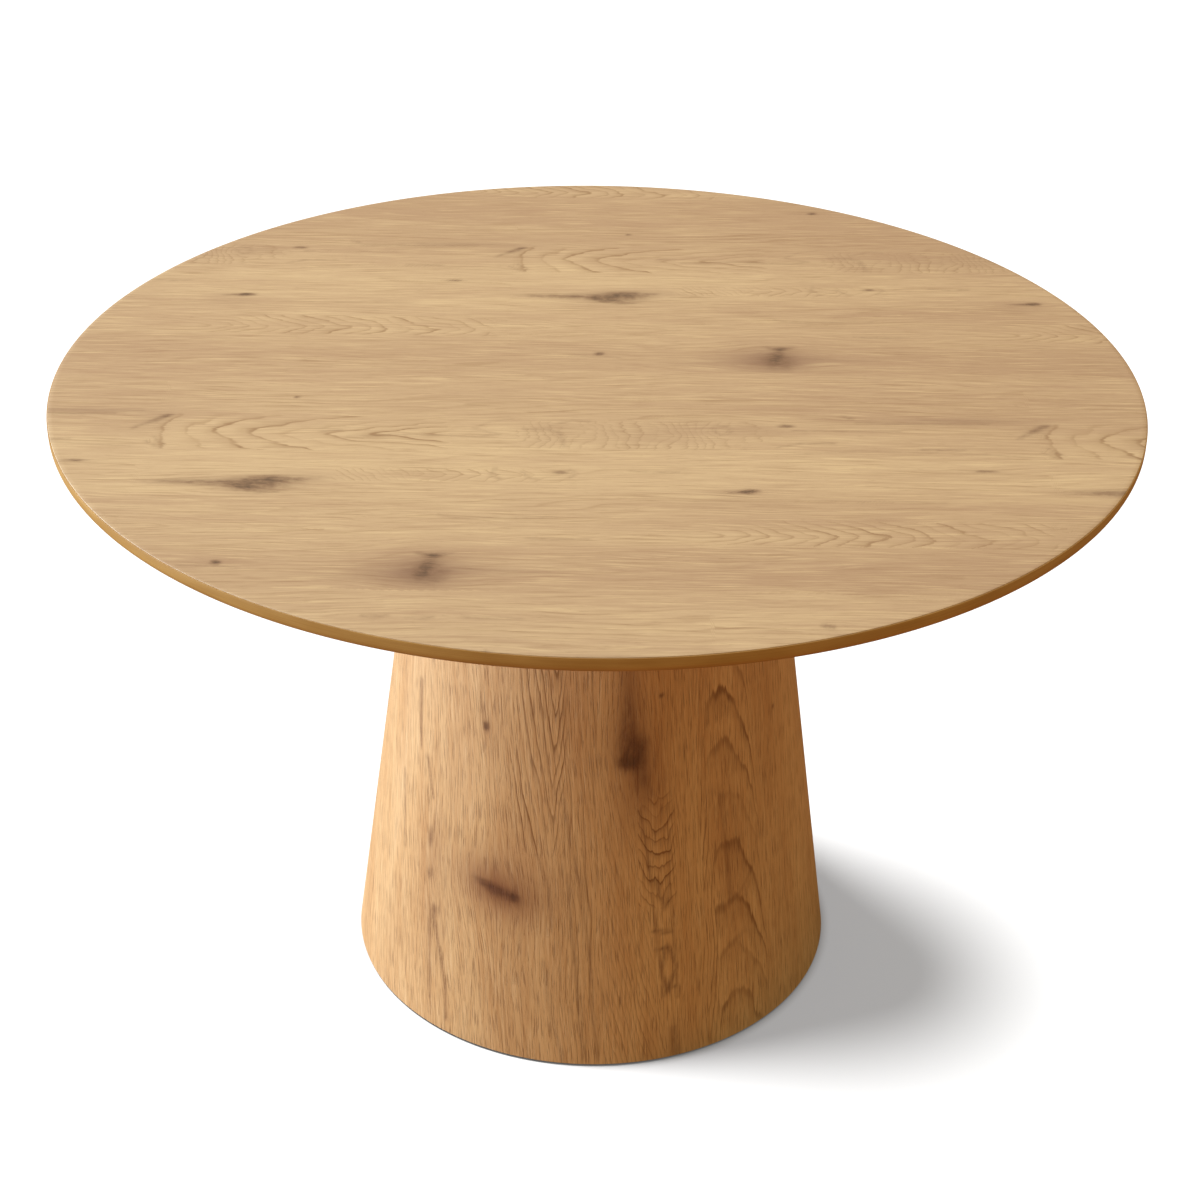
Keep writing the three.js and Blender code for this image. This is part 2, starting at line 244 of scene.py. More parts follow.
PRINT_LENGTH = 936
ROW_DEPTH = 491
ROW_TOP = 8
ROW_SHIFT = 362
LAST_ROW = (300, -940)  # how the part row at the back edge is placed


def print_place(x, y):
    """Place in the print for a place on the tabletop."""
    row = np.floor((y - ROW_TOP) / ROW_DEPTH) + 1
    u = np.where(row > 1, x + LAST_ROW[0], x - ROW_SHIFT * row)
    v = np.where(row > 1, y + LAST_ROW[1], y - ROW_DEPTH * row)
    return wrapped(u, PRINT_LENGTH), v


def straight_rings(u, v):
    """Long near-level lines that rise over the burl."""
    rise = 18 * np.exp(-(((u - 110) / 250) ** 2)) + 0.03 * u
    phase = (v - rise) / 10.5 + 0.45 * wobble(u / 5, v, 45, 11)
    lines = 0.68 * window(v, -100, -66, 12) * window(u, -330, 420, 90)
    faint = 0.25 + 0.2 * wobble(u / 6, v, 70, 12)
    return phase, np.maximum(lines, faint * window(v, -480, 0, 8))


def flame_rings(u, v):
    """Nested arcs that open to the right, wider apart as they go."""
    across = v + 158 + 5 * wobble(u / 2, v, 70, 13)
    along = u + 478
    spread = 0.42 * (np.abs(across) / 38) ** 1.5 * (1 + np.clip(along, 0, 400) / 240)
    reach = along / (1 + spread) + 4 * wobble(u, v, 45, 14)
    phase = np.log1p(np.clip(reach, 0, None) / 150) / 0.14
    return phase, 0.95 * window(u, -462, -175, 30) * window(v, -192, -118, 9)


def burl_rings(u, v):
    """Close upright wavy lines with an eye beside them."""
    eye = np.exp(-(((u - 132) / 24) ** 2) - ((v + 140) / 22) ** 2)
    phase = (u + 8 * wobble(u / 2, v, 48, 15) + 0.3 * np.abs(v + 150)) / 12.5 + 2.2 * eye
    return phase, 0.52 * window(u, -50, 150, 60) * window(v, -180, -124, 14)


def lens_rings(u, v):
    """A flat lens beside the burl."""
    rise = 9 * np.cos(np.clip((u - 335) / 150, -1, 1) * math.pi / 2)
    phase = (v + 194 - rise) / 7.5
    return phase, 0.55 * window(u, 225, 450, 40) * window(v, -200, -176, 8)


def feather_rings(u, v):
    """Short slanted strokes in the row of small figures."""
    phase = (u + 0.85 * (v + 250) + 2 * wobble(u, v, 30, 16)) / 9.5
    return phase, 0.6 * window(u, -256, -196, 22) * window(v, -261, -238, 6)


def small_flame_rings(u, v):
    """Small arrowheads in the same row."""
    phase = (u + 1.5 * np.abs(v + 247) + 5 * wobble(u, v, 32, 17)) / 19
    return phase, 0.65 * window(u, -182, -30, 14) * window(v, -261, -236, 6)


def chevron_rings(u, v):
    """Long narrow lenses at the left that turn into a row of chevrons pointing right."""
    across = np.abs(v + 366 + 6 * smoothstep(0, 230, u) + 2.5 * wobble(u / 3, v, 60, 18))
    across = np.sqrt(across**2 + 9) - 3
    turning = smoothstep(60, 215, u)
    lens = (u + 468) / 68
    chevron = 8.3 + (u - 96) / 25
    phase = lens * (1 - turning) + chevron * turning + across * (1 / 6.4 + turning * (1 / 15 - 1 / 6.4))
    phase = phase + 0.25 * wobble(u / 2, v, 40, 19)
    strength = (0.42 + 0.42 * turning) * window(v, -386, -342, 10) * window(u, -446, 446, 14)
    return phase, strength * (1 - 0.4 * window(u, -200, 60, 40))


def wavy_rings(u, v):
    """A few wavy lines above the chevrons."""
    phase = (v + 4 * wobble(u / 3, v, 60, 20)) / 8
    return phase, 0.62 * window(u, -170, -10, 40) * window(v, -347, -334, 6)


TOP_KNOTS = [  # places that the grain flows round: centre, half sizes, push
    (-336, -274, 110, 34, 16), (-158, -445, 60, 46, 20), (-296, -260, 30, 14, 5),
    (150, -279, 46, 14, 5), (-364, -438, 36, 14, 5), (132, -139, 34, 22, 8), (270, -103, 34, 12, 4),
]
TOP_BODIES = [  # the dark bodies of knots: depth, centre, half sizes, tilt
    (0.62, -338, -272, 36, 17, 4), (0.46, -329, -262, 22, 7, 0), (0.42, -355, -282, 18, 7, -12),
    (0.30, -329, -291, 15, 3.5, 8), (0.46, -392, -271, 42, 9, 0), (0.32, -440, -271, 34, 6.5, 0),
    (0.32, -301, -262, 12, 4.5, 15), (0.18, -280, -258, 12, 6, 0),
    (0.66, -155, -417, 8, 4.5, 0), (0.34, -168, -413, 8, 3.5, -20), (0.34, -142, -413, 9, 3.5, 15),
    (0.46, -162, -442, 7, 23, -16), (0.46, -162, -446, 25, 30, -14), (0.22, -150, -460, 11, 20, -8),
    (1.00, 155, -277, 10, 5, 0), (0.50, 138, -279, 18, 4, 0), (0.95, -361, -436, 6, 5, 0),
    (0.60, -471, -130, 12, 5, 38), (0.70, -459, -119, 8, 4.5, 12), (0.75, 201, -126, 10, 5, 0),
    (0.80, -37, -240, 9, 4, 0), (0.85, -326, -69, 4, 3.5, 0), (0.75, 400, -226, 12, 3.5, 0),
]
TOP_STROKES = [  # single soft lines: depth, then points of (u, v, half width)
    (0.40, [(-458, -117, 4), (-466, -130, 5), (-484, -142, 4), (-490, -150, 4)]),
    (0.35, [(-464, -170, 3.5), (-457, -180, 4), (-450, -188, 3.5)]),
    (0.32, [(-292, -153, 3.5), (-282, -149, 4), (-268, -149, 3.5)]),
    (0.30, [(-262, -163, 3.5), (-196, -157, 4), (-126, -160, 4.5), (-104, -154, 4.5), (-132, -141, 3.5)]),
    (0.26, [(-132, -141, 3.5), (-112, -122, 3.5), (-90, -116, 3.5)]),
    (0.34, [(-78, -140, 4), (-50, -141, 4), (-40, -150, 4.5), (-34, -180, 4.5)]),
    (0.28, [(-50, -132, 4), (-26, -118, 3.5), (-8, -120, 3.5)]),
    (0.32, [(122, -136, 4), (130, -150, 3.5), (142, -144, 4), (138, -128, 4), (126, -128, 3.5)]),
    (0.32, [(206, -137, 3.5), (260, -137, 3.5), (322, -136, 3)]),
    (0.34, [(276, -116, 3.5), (340, -117, 4), (420, -115, 3)]),
    (0.40, [(264, -100, 4), (272, -106, 5)]),
    (0.34, [(190, -177, 3.5), (212, -167, 4), (250, -165, 3.5)]),
    (0.36, [(338, -178, 3.5), (366, -178, 4), (384, -177, 3.5)]),
    (0.26, [(212, -191, 3.5), (280, -183, 3), (370, -184, 3), (452, -193, 3)]),
    (0.34, [(464, -180, 3.5), (470, -186, 4), (482, -195, 3.5)]),
    (0.34, [(-104, -232, 4), (-107, -248, 4.5), (-98, -256, 4)]),
    (0.34, [(-76, -240, 3.5), (-70, -252, 4), (-60, -256, 3.5)]),
    (0.32, [(-28, -234, 3.5), (-20, -242, 3.5), (-28, -252, 3.5)]),
    (0.34, [(34, -235, 3.5), (58, -238, 4.5), (84, -236, 3.5)]),
    (0.30, [(384, -226, 3), (398, -227, 4), (414, -226, 3)]),
    (0.28, [(262, -298, 3), (280, -297, 4), (296, -296, 3)]),
    (0.24, [(200, -297, 3), (240, -296, 3)]),
    (0.24, [(310, -296, 3), (352, -297, 3)]),
    (0.34, [(-68, -381, 3), (-40, -382, 5), (-6, -380, 3)]),
    (0.28, [(-156, -334, 3.5), (-140, -341, 4), (-96, -340, 4), (-40, -337, 3.5)]),
    (0.28, [(-136, -441, 3), (-90, -446, 3), (-44, -447, 3)]),
    (0.30, [(-396, -443, 3), (-366, -443, 3), (-338, -445, 3)]),
    (0.26, [(-590, -108, 5), (-540, -108, 5), (-486, -107, 3)]),
]
TOP_STAINS = [  # soft brown stains: depth, centre, half sizes, tilt
    (0.50, -336, -272, 52, 22, 4), (0.30, -390, -272, 60, 13, 0), (0.25, -290, -260, 26, 12, 0),
    (0.95, -163, -450, 42, 33, 0), (0.42, -176, -450, 66, 26, 0), (0.30, -240, -458, 46, 9, 0),
    (0.25, -110, -446, 60, 10, 0), (0.30, -364, -438, 26, 8, 0), (0.30, 140, -279, 40, 7, 0),
    (0.30, 60, -150, 70, 30, 0), (0.30, 160, -135, 50, 15, 0), (0.28, -540, -108, 60, 8, 0),
    (0.25, -470, -132, 24, 20, 40), (0.32, 370, -110, 110, 7, 0), (0.22, 130, -298, 34, 12, 0),
    (0.20, 398, -228, 40, 6, 0), (0.25, -50, -155, 30, 26, 0), (-0.5, -450, -287, 60, 8, 0),
    (-0.35, -60, -245, 26, 8, 0), (-0.3, 380, -293, 20, 7, 0), (-0.25, -420, -170, 40, 16, 0),
]
FRONT_STROKES = [  # lines of the part row at the front edge, placed on the tabletop itself
    (0.34, [(-214, -531, 4), (-204, -533, 6), (-190, -530, 4)]),
    (0.30, [(-172, -534, 3), (-158, -535, 6), (-148, -532, 4)]),
    (0.30, [(-122, -532, 4), (-106, -532, 6), (-66, -534, 4)]),
    (0.60, [(210, -539, 5), (216, -541, 5)]),
]
TONE_ACROSS = [  # how pale the print is across a row: v, tone
    (-483, -0.55), (-455, -0.85), (-412, -0.6), (-392, -0.1), (-366, 0.3), (-335, 0.0), (-310, -0.1),
    (-270, 0.75), (-215, 0.95), (-170, 0.55), (-118, 0.0), (-95, -0.3), (-50, -0.2), (-15, -0.35), (8, -0.5),
]


def top_fields(x, y):
    """The fields of the tabletop's print at places in millimetres, with painted light and shade in its tone."""
    u, v = print_place(x, y)
    knots = bend_round(u, v, TOP_KNOTS, PRINT_LENGTH)
    regions = [straight_rings(u, v + knots)]
    regions += [make(u, v) for make in (
        flame_rings, burl_rings, lens_rings, feather_rings, small_flame_rings, chevron_rings, wavy_rings)]
    ring, depth = strongest(x.shape, regions)
    lines = np.maximum(strokes_field(u, v, TOP_STROKES, PRINT_LENGTH), strokes_field(x, y, FRONT_STROKES))
    # Painted light and shade across the top: the tone darkens towards the back and the right and grows paler along
    # the front edge, by table position rather than print. It also darkens at the far left.
    tone = np.interp(v, *zip(*TONE_ACROSS)) + 0.2 * wobble(x / 7, y, 90, 21) - 0.7 * smoothstep(50, 450, y)
    tone += 0.7 * smoothstep(-440, -580, y) - 0.6 * smoothstep(50, 400, x) - 0.4 * smoothstep(-350, -560, x)
    waves = 3.5 * wobble(x / 6, y, 70, 22) + 5 * wobble(x / 9, y, 200, 23)
    return {
        "grain": np.stack([x, y + knots + waves, 0 * x], -1) * MM,
        "ring": ring,
        "ring_depth": depth,
        "mark": np.maximum(lines, blobs_field(u, v, TOP_BODIES, PRINT_LENGTH)),
        "stain": blobs_field(u, v, TOP_STAINS, PRINT_LENGTH),
        "tone": tone,
    }


# ---------------------------------------------------------------- the column's oak print
# Places on the column are an angle in degrees (-90 is the front) and a height in millimetres. Its fine
# grain is that of one flat sheet wrapped round a cone, so its lines lean more and more towards the seam.

SHEET_MIDDLE = -66  # the angle at which the grain stands upright
PER_DEGREE = TURN / 360 * (FOOT_RADIUS + HEAD_RADIUS) / 2 / MM
COLUMN_REPEAT = 160  # degrees after which the larger figures repeat
COLUMN_START = -172
COLUMN_FADE = (5, 4)  # degrees left clear at each end of a repeat, and those over which the figures fade


def flat_place(angle, height):
    """Place on the column's sheet laid flat: across and along its grain, in millimetres."""
    reach = (FOOT_RADIUS / MM - (height - column_low.z / MM) * math.tan(SLOPE)) / math.sin(SLOPE)
    lean = np.radians(angle - SHEET_MIDDLE) * math.sin(SLOPE)
    return reach * np.sin(lean), FOOT_RADIUS / MM / math.sin(SLOPE) - reach * np.cos(lean)


def v_rings(angle, height, across):
    """Nested Vs that point down, with a slanted left arm and a near-upright right arm."""
    x = (angle + 100.2) * PER_DEGREE + 2 * wobble(across, height / 4, 40, 31)
    rise = 5.2 * np.sqrt(np.clip(-x, 0, None) ** 2 + 4) + 9 * np.clip(x, 0, None)
    phase = (height - rise + 8 * wobble(across * 2, height / 3, 60, 32)) / 44
    return phase, 1.15 * window(angle, -110, -98, 2.5) * window(height, 285, 760, 25)


def upright_rings(angle, height, across):
    """Close upright lines, strongest beside the Vs."""
    phase = (across + 3.5 * wobble(across / 2, height / 7, 30, 33)) / 7.5
    left = 0.65 * window(angle, -98, -90, 2)
    right = 0.4 * window(angle, -68, -62.5, 1.5)
    faint = 0.22 + 0.12 * wobble(across / 2, height / 12, 40, 34)
    return phase, np.maximum(np.maximum(left, right), faint)


def slanted_rings(angle, height, across):
    """Fine lines that slant down to the right beside a plank joint."""
    phase = (angle * PER_DEGREE + 0.215 * height + 1.5 * wobble(across, height / 5, 40, 35)) / 5
    right_edge = -78.5 + (320 - np.clip(height, 0, 320)) * 0.021
    return phase, 0.62 * window(angle, -86.2, right_edge, 0.8) * window(height, -20, 318, 14)


def bowl_rings(angle, height, across):
    """Nested bowls under the large knot."""
    x = (angle + 72.8) * PER_DEGREE
    ripple = 5 * wobble(across * 2, height / 2, 30, 36)
    phase = (height - 0.055 * x**2 + ripple) / 17
    return phase, 0.95 * window(angle, -78, -68.8, 1.2) * window(height, 212, 336, 16)


def arch_rings(angle, height, across):
    """Nested arches at the right, with steep outer arms."""
    x = (angle + 53) * PER_DEGREE + 3 * wobble(across, height / 3, 60, 37)
    drop = 0.045 * x**2 + 12 * np.clip(-x - 19, 0, None) + 8 * np.clip(x - 44, 0, None)
    phase = (height + drop + 6 * wobble(across, height / 3, 36, 41)) / 66
    return phase, 0.85 * window(angle, -60.5, -42, 1.5) * window(height, 20, 475, 30)


COLUMN_KNOTS = [  # places that the grain flows round: angle, height, half sizes in mm, push
    (-79.6, 405, 30, 70, 14), (-116, 214, 46, 60, 16), (-120.4, 415, 12, 40, 5), (-71.5, 120, 16, 60, 5),
]
COLUMN_BODIES = [  # the dark bodies of knots: depth, angle, height, half sizes in mm, tilt
    (0.55, -79.6, 404, 21, 27, 0), (0.36, -81.8, 390, 10, 9, 25), (0.32, -77.4, 398, 9, 22, -8),
    (0.30, -79.2, 386, 13, 7, 0), (0.30, -80.4, 446, 15, 36, 0), (0.20, -80.8, 500, 11, 56, 0),
    (0.12, -81.0, 560, 10, 34, 0), (0.34, -76.8, 366, 11, 15, -20), (0.20, -76.0, 342, 9, 18, -10),
    (0.46, -113.6, 214, 24, 7, -9), (0.36, -118.0, 220, 18, 5, -14), (0.60, -109.7, 211, 6, 5, 0),
    (0.22, -108.4, 202, 4, 9, 20), (0.22, -109.2, 224, 4, 8, -10), (0.28, -114.0, 209, 30, 17, -9),
    (1.00, -120.5, 413, 4.5, 7, 8), (0.45, -121.8, 432, 3.5, 14, 0), (0.40, -120.6, 390, 3.5, 12, 0),
    (0.75, -71.0, 465, 3.5, 4, 0), (0.75, -30.2, 391, 3.5, 4, 0),
    (0.50, -136.2, 246, 6, 16, 0), (0.45, -135.4, 198, 7, 10, 0), (0.55, -132.6, 154, 7, 10, 0),
    (0.42, -70.8, 106, 4, 6, 0),
]
COLUMN_STROKES = [  # single soft lines: depth, then points of (angle, height, half width in mm)
    (0.43, [(-73.6, 240, 3), (-72.9, 221, 4), (-71.6, 200, 4), (-70.2, 214, 4)]),
    (0.38, [(-78, 330, 3), (-76.2, 290, 3), (-75, 240, 3), (-73.4, 140, 3), (-72, 84, 3)]),
    (0.35, [(-69.6, 300, 3), (-70.2, 240, 3), (-69.4, 170, 3), (-68.8, 80, 3)]),
    (0.52, [(-74.4, 173, 4), (-72, 170, 4), (-69.6, 170, 4)]),
    (0.52, [(-74.2, 147, 3), (-71, 151, 4), (-68.9, 122, 3), (-71.2, 92, 4), (-72.8, 118, 3), (-71.6, 150, 3)]),
    (0.43, [(-72.4, 88, 4), (-70.6, 96, 4), (-68.7, 95, 3)]),
    (0.41, [(-70, 40, 6), (-69.6, 5, 7)]),
    (0.34, [(-54.4, 325, 4), (-53.3, 246, 4), (-52.6, 184, 6)]),
    (0.30, [(-52.6, 180, 4), (-48.5, 193, 4), (-45.2, 212, 3)]),
    (0.24, [(-58.0, 113, 5), (-52.7, 128, 5), (-48.3, 136, 5), (-44.3, 88, 4)]),
    (0.18, [(-56, 70, 5), (-51, 88, 5), (-46.4, 72, 5), (-43.6, 43, 4)]),
    (0.36, [(-97.7, 343, 3), (-92.9, 236, 3), (-90.2, 142, 3), (-88.3, 9, 3)]),
    (0.36, [(-104.2, 272, 3), (-100.8, 233, 3), (-99.6, 180, 3)]),
    (0.36, [(-101.5, 137, 3), (-99.4, 70, 3), (-96, 3, 3)]),
    (0.36, [(-96, 250, 3), (-94.4, 160, 3), (-92.2, 70, 3), (-91.4, 10, 3)]),
    (0.49, [(-147.2, 424, 6), (-145.6, 380, 5), (-143.8, 345, 3)]),
    (0.46, [(-140.6, 340, 5), (-139.2, 324, 4), (-136.6, 294, 3)]),
    (0.49, [(-132.8, 148, 4), (-130, 110, 3), (-127.4, 70, 3), (-126, 20, 3)]),
    (0.43, [(-133.8, 148, 4), (-133, 100, 3), (-131.6, 36, 3)]),
    (0.41, [(-151, 300, 4), (-148.6, 250, 4), (-146.6, 205, 3)]),
]
COLUMN_STAINS_AND_SHEEN = [  # soft brown stains, and paler stripes where the depth is below nothing: depth, angle, height, half sizes in mm, tilt
    (0.62, -79.7, 410, 34, 46, 0), (0.66, -80.6, 490, 18, 80, 0), (0.55, -77.2, 362, 26, 36, -20),
    (0.32, -76, 320, 34, 44, 0), (0.75, -114.5, 216, 40, 28, -10), (0.50, -115.2, 228, 68, 50, 0),
    (0.25, -108, 205, 40, 26, 0), (0.25, -120, 412, 20, 36, 0), (0.35, -134.6, 240, 14, 50, 0),
    (0.3, -133, 150, 26, 60, 0), (0.3, -151, 90, 30, 110, 0), (0.25, -52, 240, 20, 110, 0),
    # The tall paler stripes at -148 and -152 degrees are painted highlight, where the left light grazes the column's
    # left side; they repeat with the figures.
    (0.25, -70, 20, 26, 40, 0), (-0.4, -148, 560, 34, 160, 0), (-0.35, -152, 250, 14, 160, 0),
    (0.2, -38, 260, 40, 200, 0), (-0.15, -126, 330, 40, 120, 0),
]


def column_fields(angle, height):
    """The fields of the column's print, with a painted highlight among its stains, at angles in degrees and heights
    in millimetres.
    """
    across, along = flat_place(angle, height)
    figure = COLUMN_START + (angle - COLUMN_START) % COLUMN_REPEAT
    knots = [(a * PER_DEGREE, h, half_a, half_h, push) for a, h, half_a, half_h, push in COLUMN_KNOTS]
    x = figure * PER_DEGREE
    push = bend_round(height, x, [(h, a, half_h, half_a, most) for a, h, half_a, half_h, most in knots])
    clear, soft = COLUMN_FADE
    edge = window(figure, COLUMN_START + clear, COLUMN_START + COLUMN_REPEAT - clear, soft)
    regions = [upright_rings(figure, height, across + push)]
    regions += [(phase, strength * edge) for phase, strength in (
        make(figure, height, across) for make in (v_rings, slanted_rings, bowl_rings, arch_rings))]
    ring, depth = strongest(angle.shape, regions)
    strokes = [(d, [(a * PER_DEGREE, h, w) for a, h, w in points]) for d, points in COLUMN_STROKES]
    bodies, stains_and_sheen = [
        [(d, a * PER_DEGREE, *rest) for d, a, *rest in blobs] for blobs in (COLUMN_BODIES, COLUMN_STAINS_AND_SHEEN)]
    tone = 0.3 * wobble(across, height / 9, 120, 38) + 0.25 * wobble(across, height / 12, 34, 39)
    waves = 2.0 * wobble(across, height / 6, 60, 40)
    return {
        "grain": np.stack([across + push + waves, along, 0 * across], -1) * MM,
        "ring": ring,
        "ring_depth": depth,
        "mark": np.maximum(strokes_field(x, height, strokes), blobs_field(x, height, bodies)) * edge,
        "stain": blobs_field(x, height, stains_and_sheen) * edge,
        "tone": tone,
    }


# ---------------------------------------------------------------- shader helpers


def srgb(red, green, blue):
    """A colour given as it shows on a screen, from 0 to 255."""
    share = [c / 255 for c in (red, green, blue)]
    return [c / 12.92 if c <= 0.04045 else ((c + 0.055) / 1.055) ** 2.4 for c in share] + [1.0]


WIDE = (0.3, 0.7)  # the range that most of a noise lies in


class Finish:
    """One material. Values fed to its nodes are numbers, colours or other nodes' outputs."""

    def __init__(self, name, **constants):
        self.material = bpy.data.materials.new(name)
        self.material.use_nodes = True
        self.tree = self.material.node_tree
        self.surface = self.tree.nodes["Principled BSDF"]
        for socket, value in constants.items():
            self.surface.inputs[socket.replace("_", " ")].default_value = value

    def node(self, kind, inputs=(), output=0, **settings):
        made = self.tree.nodes.new(kind)
        for name, value in settings.items():
            setattr(made, name, value)
        for socket, value in dict(inputs).items():
            if isinstance(value, bpy.types.NodeSocket):
                self.tree.links.new(value, made.inputs[socket])
            else:
                made.inputs[socket].default_value = value
        return made.outputs[output]

    def calc(self, operation, first, second=0.0, third=0.0, clamp=False):
        sockets = {0: first, 1: second, 2: third}
        return self.node("ShaderNodeMath", sockets, operation=operation, use_clamp=clamp)

    def plus(self, first, second, clamp=False):
        return self.calc("ADD", first, second, clamp=clamp)

    def times(self, first, second, clamp=False):
        return self.calc("MULTIPLY", first, second, clamp=clamp)

    def scaled(self, value, factor, offset):
        return self.calc("MULTIPLY_ADD", value, factor, offset)

    def number(self, name):
        """A number field stored on the mesh."""
        return self.node("ShaderNodeAttribute", output="Fac", attribute_name=name)

    def place(self, name=None, stretch=(1, 1, 1)):
        """Coordinates in metres, from a mesh field or the object itself, scaled along each axis."""
        if name:
            source = self.node("ShaderNodeAttribute", output="Vector", attribute_name=name)
        else:
            source = self.node("ShaderNodeTexCoord", output="Object")
        return self.node("ShaderNodeVectorMath", {0: source, 1: stretch}, operation="MULTIPLY")

    def noise(self, place, detail=3.0, roughness=0.5, scale=1.0, distortion=0.0):
        sockets = {"Vector": place, "Scale": scale, "Detail": detail, "Roughness": roughness,
                   "Distortion": distortion}
        return self.node("ShaderNodeTexNoise", sockets)

    def remap(self, value, low, high, to_low=0.0, to_high=1.0, smooth=True):
        sockets = {"Value": value, 1: low, 2: high, 3: to_low, 4: to_high}
        kind = "SMOOTHSTEP" if smooth else "LINEAR"
        return self.node("ShaderNodeMapRange", sockets, interpolation_type=kind, clamp=True)

    def spread(self, noise, low, high):
        """A noise taken to a range of its own."""
        return self.remap(noise, *WIDE, low, high, smooth=False)

    def mix(self, share, first, second):
        return self.node("ShaderNodeMix", {0: share, 6: first, 7: second}, output=2, data_type="RGBA")

    def finish(self, colour, roughness=None, height=None, bump=0.2, distance=0.0005):
        self.tree.links.new(colour, self.surface.inputs["Base Color"])
        if roughness is not None:
            self.tree.links.new(roughness, self.surface.inputs["Roughness"])
        if height is not None:
            sockets = {"Strength": bump, "Distance": distance, "Height": height}
            normal = self.node("ShaderNodeBump", sockets)
            self.tree.links.new(normal, self.surface.inputs["Normal"])
        return self.material


# ---------------------------------------------------------------- materials


def oak_print(name, look):
    """Printed oak: tone bands, streaks, growth rings, pores, stains and dark knots along the grain field, with
    painted light and shade in the tabletop's tone and a painted highlight among the column's stains.
    look holds what differs between the two prints; its lengths are in metres, along and across the grain."""
    f = Finish(name, Specular_IOR_Level=look["specular"])
    along, across = look["along"], look["across"]

    def stretched(length, width):
        scale = [0.0, 0.0, 1.0]
        scale[along], scale[across] = 1 / length, 1 / width
        return f.place("grain", tuple(scale))

    broad = f.noise(stretched(0.30, 0.028), detail=3.0)
    streak = f.noise(stretched(0.11, 0.0042), detail=4.0, roughness=0.6)
    fibre = f.noise(stretched(0.030, 0.0011), detail=3.0, roughness=0.65)
    pore_noise = f.noise(stretched(look["pore_length"], look["pore_width"]), detail=2.0, roughness=0.55)
    ragged = f.noise(stretched(0.012, 0.004), detail=3.0, roughness=0.6)

    # How pale the wood is: its tone field, with broad and fine streaks on top. On the tabletop the tone field also
    # holds painted light and shade.
    tone = f.scaled(f.number("tone"), look["tone_gain"], 0.5)
    tone = f.plus(tone, f.spread(broad, -look["broad"], look["broad"]))
    tone = f.plus(tone, f.spread(streak, -look["streak"], look["streak"]))
    tone = f.plus(tone, f.spread(fibre, -look["fibre"], look["fibre"]), clamp=True)
    colour = f.mix(tone, look["deep"], look["pale"])

    # Hairlines run along the grain, dark ones and pale ones, more of them in some places than in others.
    patchy = f.remap(broad, 0.32, 0.62, 0.50, 1.1)
    hair = f.noise(stretched(look["hair_length"], look["hair_width"]), detail=3.0, roughness=0.55)
    dark_hair = f.times(f.remap(hair, 0.53, 0.70, 0.0, look["hair_share"]), patchy, clamp=True)
    colour = f.mix(dark_hair, colour, look["ring"])
    colour = f.mix(f.remap(hair, 0.47, 0.32, 0.0, look["hair_share"]), colour, look["bright"])

    # Growth rings darken slowly towards a thin dark line. Each ring has its own strength.
    waver = f.spread(streak, -look["ring_waver"], look["ring_waver"])
    phase = f.plus(f.number("ring"), waver)
    turn = f.calc("FRACT", phase)
    own = f.node("ShaderNodeTexWhiteNoise", {"W": f.calc("FLOOR", phase)}, noise_dimensions="1D")
    soft = f.remap(turn, look["ring_start"], 0.86, 0.0, 0.40)
    thin = f.remap(turn, 0.72, 0.88, 0.0, 0.60)
    ring = f.times(f.plus(soft, thin), f.remap(turn, 0.90, 1.0, 1.0, 0.0))
    ring = f.times(ring, f.remap(own, 0.0, 1.0, look["ring_least"], 1.1, smooth=False))
    ring = f.times(f.times(ring, f.number("ring_depth")), patchy, clamp=True)
    colour = f.mix(f.times(ring, look["ring_share"]), colour, look["ring"])

    # Pores are short dark dashes.
    pore = f.remap(pore_noise, look["pore_edge"], look["pore_edge"] - 0.12)
    colour = f.mix(f.times(pore, look["pore_share"]), colour, look["pore"])

    # Stains tint the wood round knots; a stain below nothing is a paler patch, which on the column's left side is
    # painted highlight.
    stain = f.times(f.number("stain"), f.remap(streak, 0.25, 0.75, 0.7, 1.25, smooth=False))
    colour = f.mix(f.times(stain, look["stain_share"], clamp=True), colour, look["stain"])
    paler = f.times(stain, -0.55, clamp=True)
    colour = f.mix(paler, colour, look["bright"])

    # Marks are the bodies of knots and single lines, broken up along the grain: brown, with a darker heart.
    broken = f.spread(ragged, 1 - look["ragged"], 1 + look["ragged"])
    mark = f.times(f.number("mark"), broken)
    mark = f.times(mark, f.spread(fibre, 0.85, 1.15))
    rim = f.remap(mark, 0.04, 0.80)
    heart = f.remap(mark, 0.55, 1.15)
    colour = f.mix(f.times(rim, look["rim_share"]), colour, look["rim"])
    colour = f.mix(f.times(heart, look["heart_share"]), colour, look["heart"])

    rough = f.spread(streak, look["rough"] - 0.05, look["rough"] + 0.05)
    rough = f.scaled(pore, 0.12, rough)
    relief = f.scaled(pore, -1.0, 0.5)
    relief = f.scaled(fibre, 0.6, relief)
    relief = f.scaled(ring, -0.3, relief)
    relief = f.scaled(heart, -0.6, relief)
    return f.finish(colour, rough, relief, bump=look["bump"], distance=0.0006)


TOP_LOOK = {
    "along": 0, "across": 1, "specular": 0.35, "rough": 0.5, "bump": 0.10,
    "pale": srgb(209, 178, 136), "deep": srgb(181, 146, 112), "bright": srgb(224, 194, 146),
    "ring": srgb(150, 113, 76), "stain": srgb(138, 101, 78), "rim": srgb(118, 84, 58),
    "heart": srgb(62, 42, 32), "pore": srgb(140, 106, 70),
    "ragged": 0.34, "tone_gain": 0.34, "broad": 0.20, "streak": 0.24, "fibre": 0.18,
    "hair_length": 0.075, "hair_width": 0.0024, "hair_share": 0.46, "ring_waver": 0.09, "ring_least": 0.35,
    "ring_start": 0.25, "ring_share": 0.86, "pore_length": 0.016, "pore_width": 0.0009,
    "pore_edge": 0.40, "pore_share": 0.30, "stain_share": 0.55, "rim_share": 0.72, "heart_share": 0.60,
}
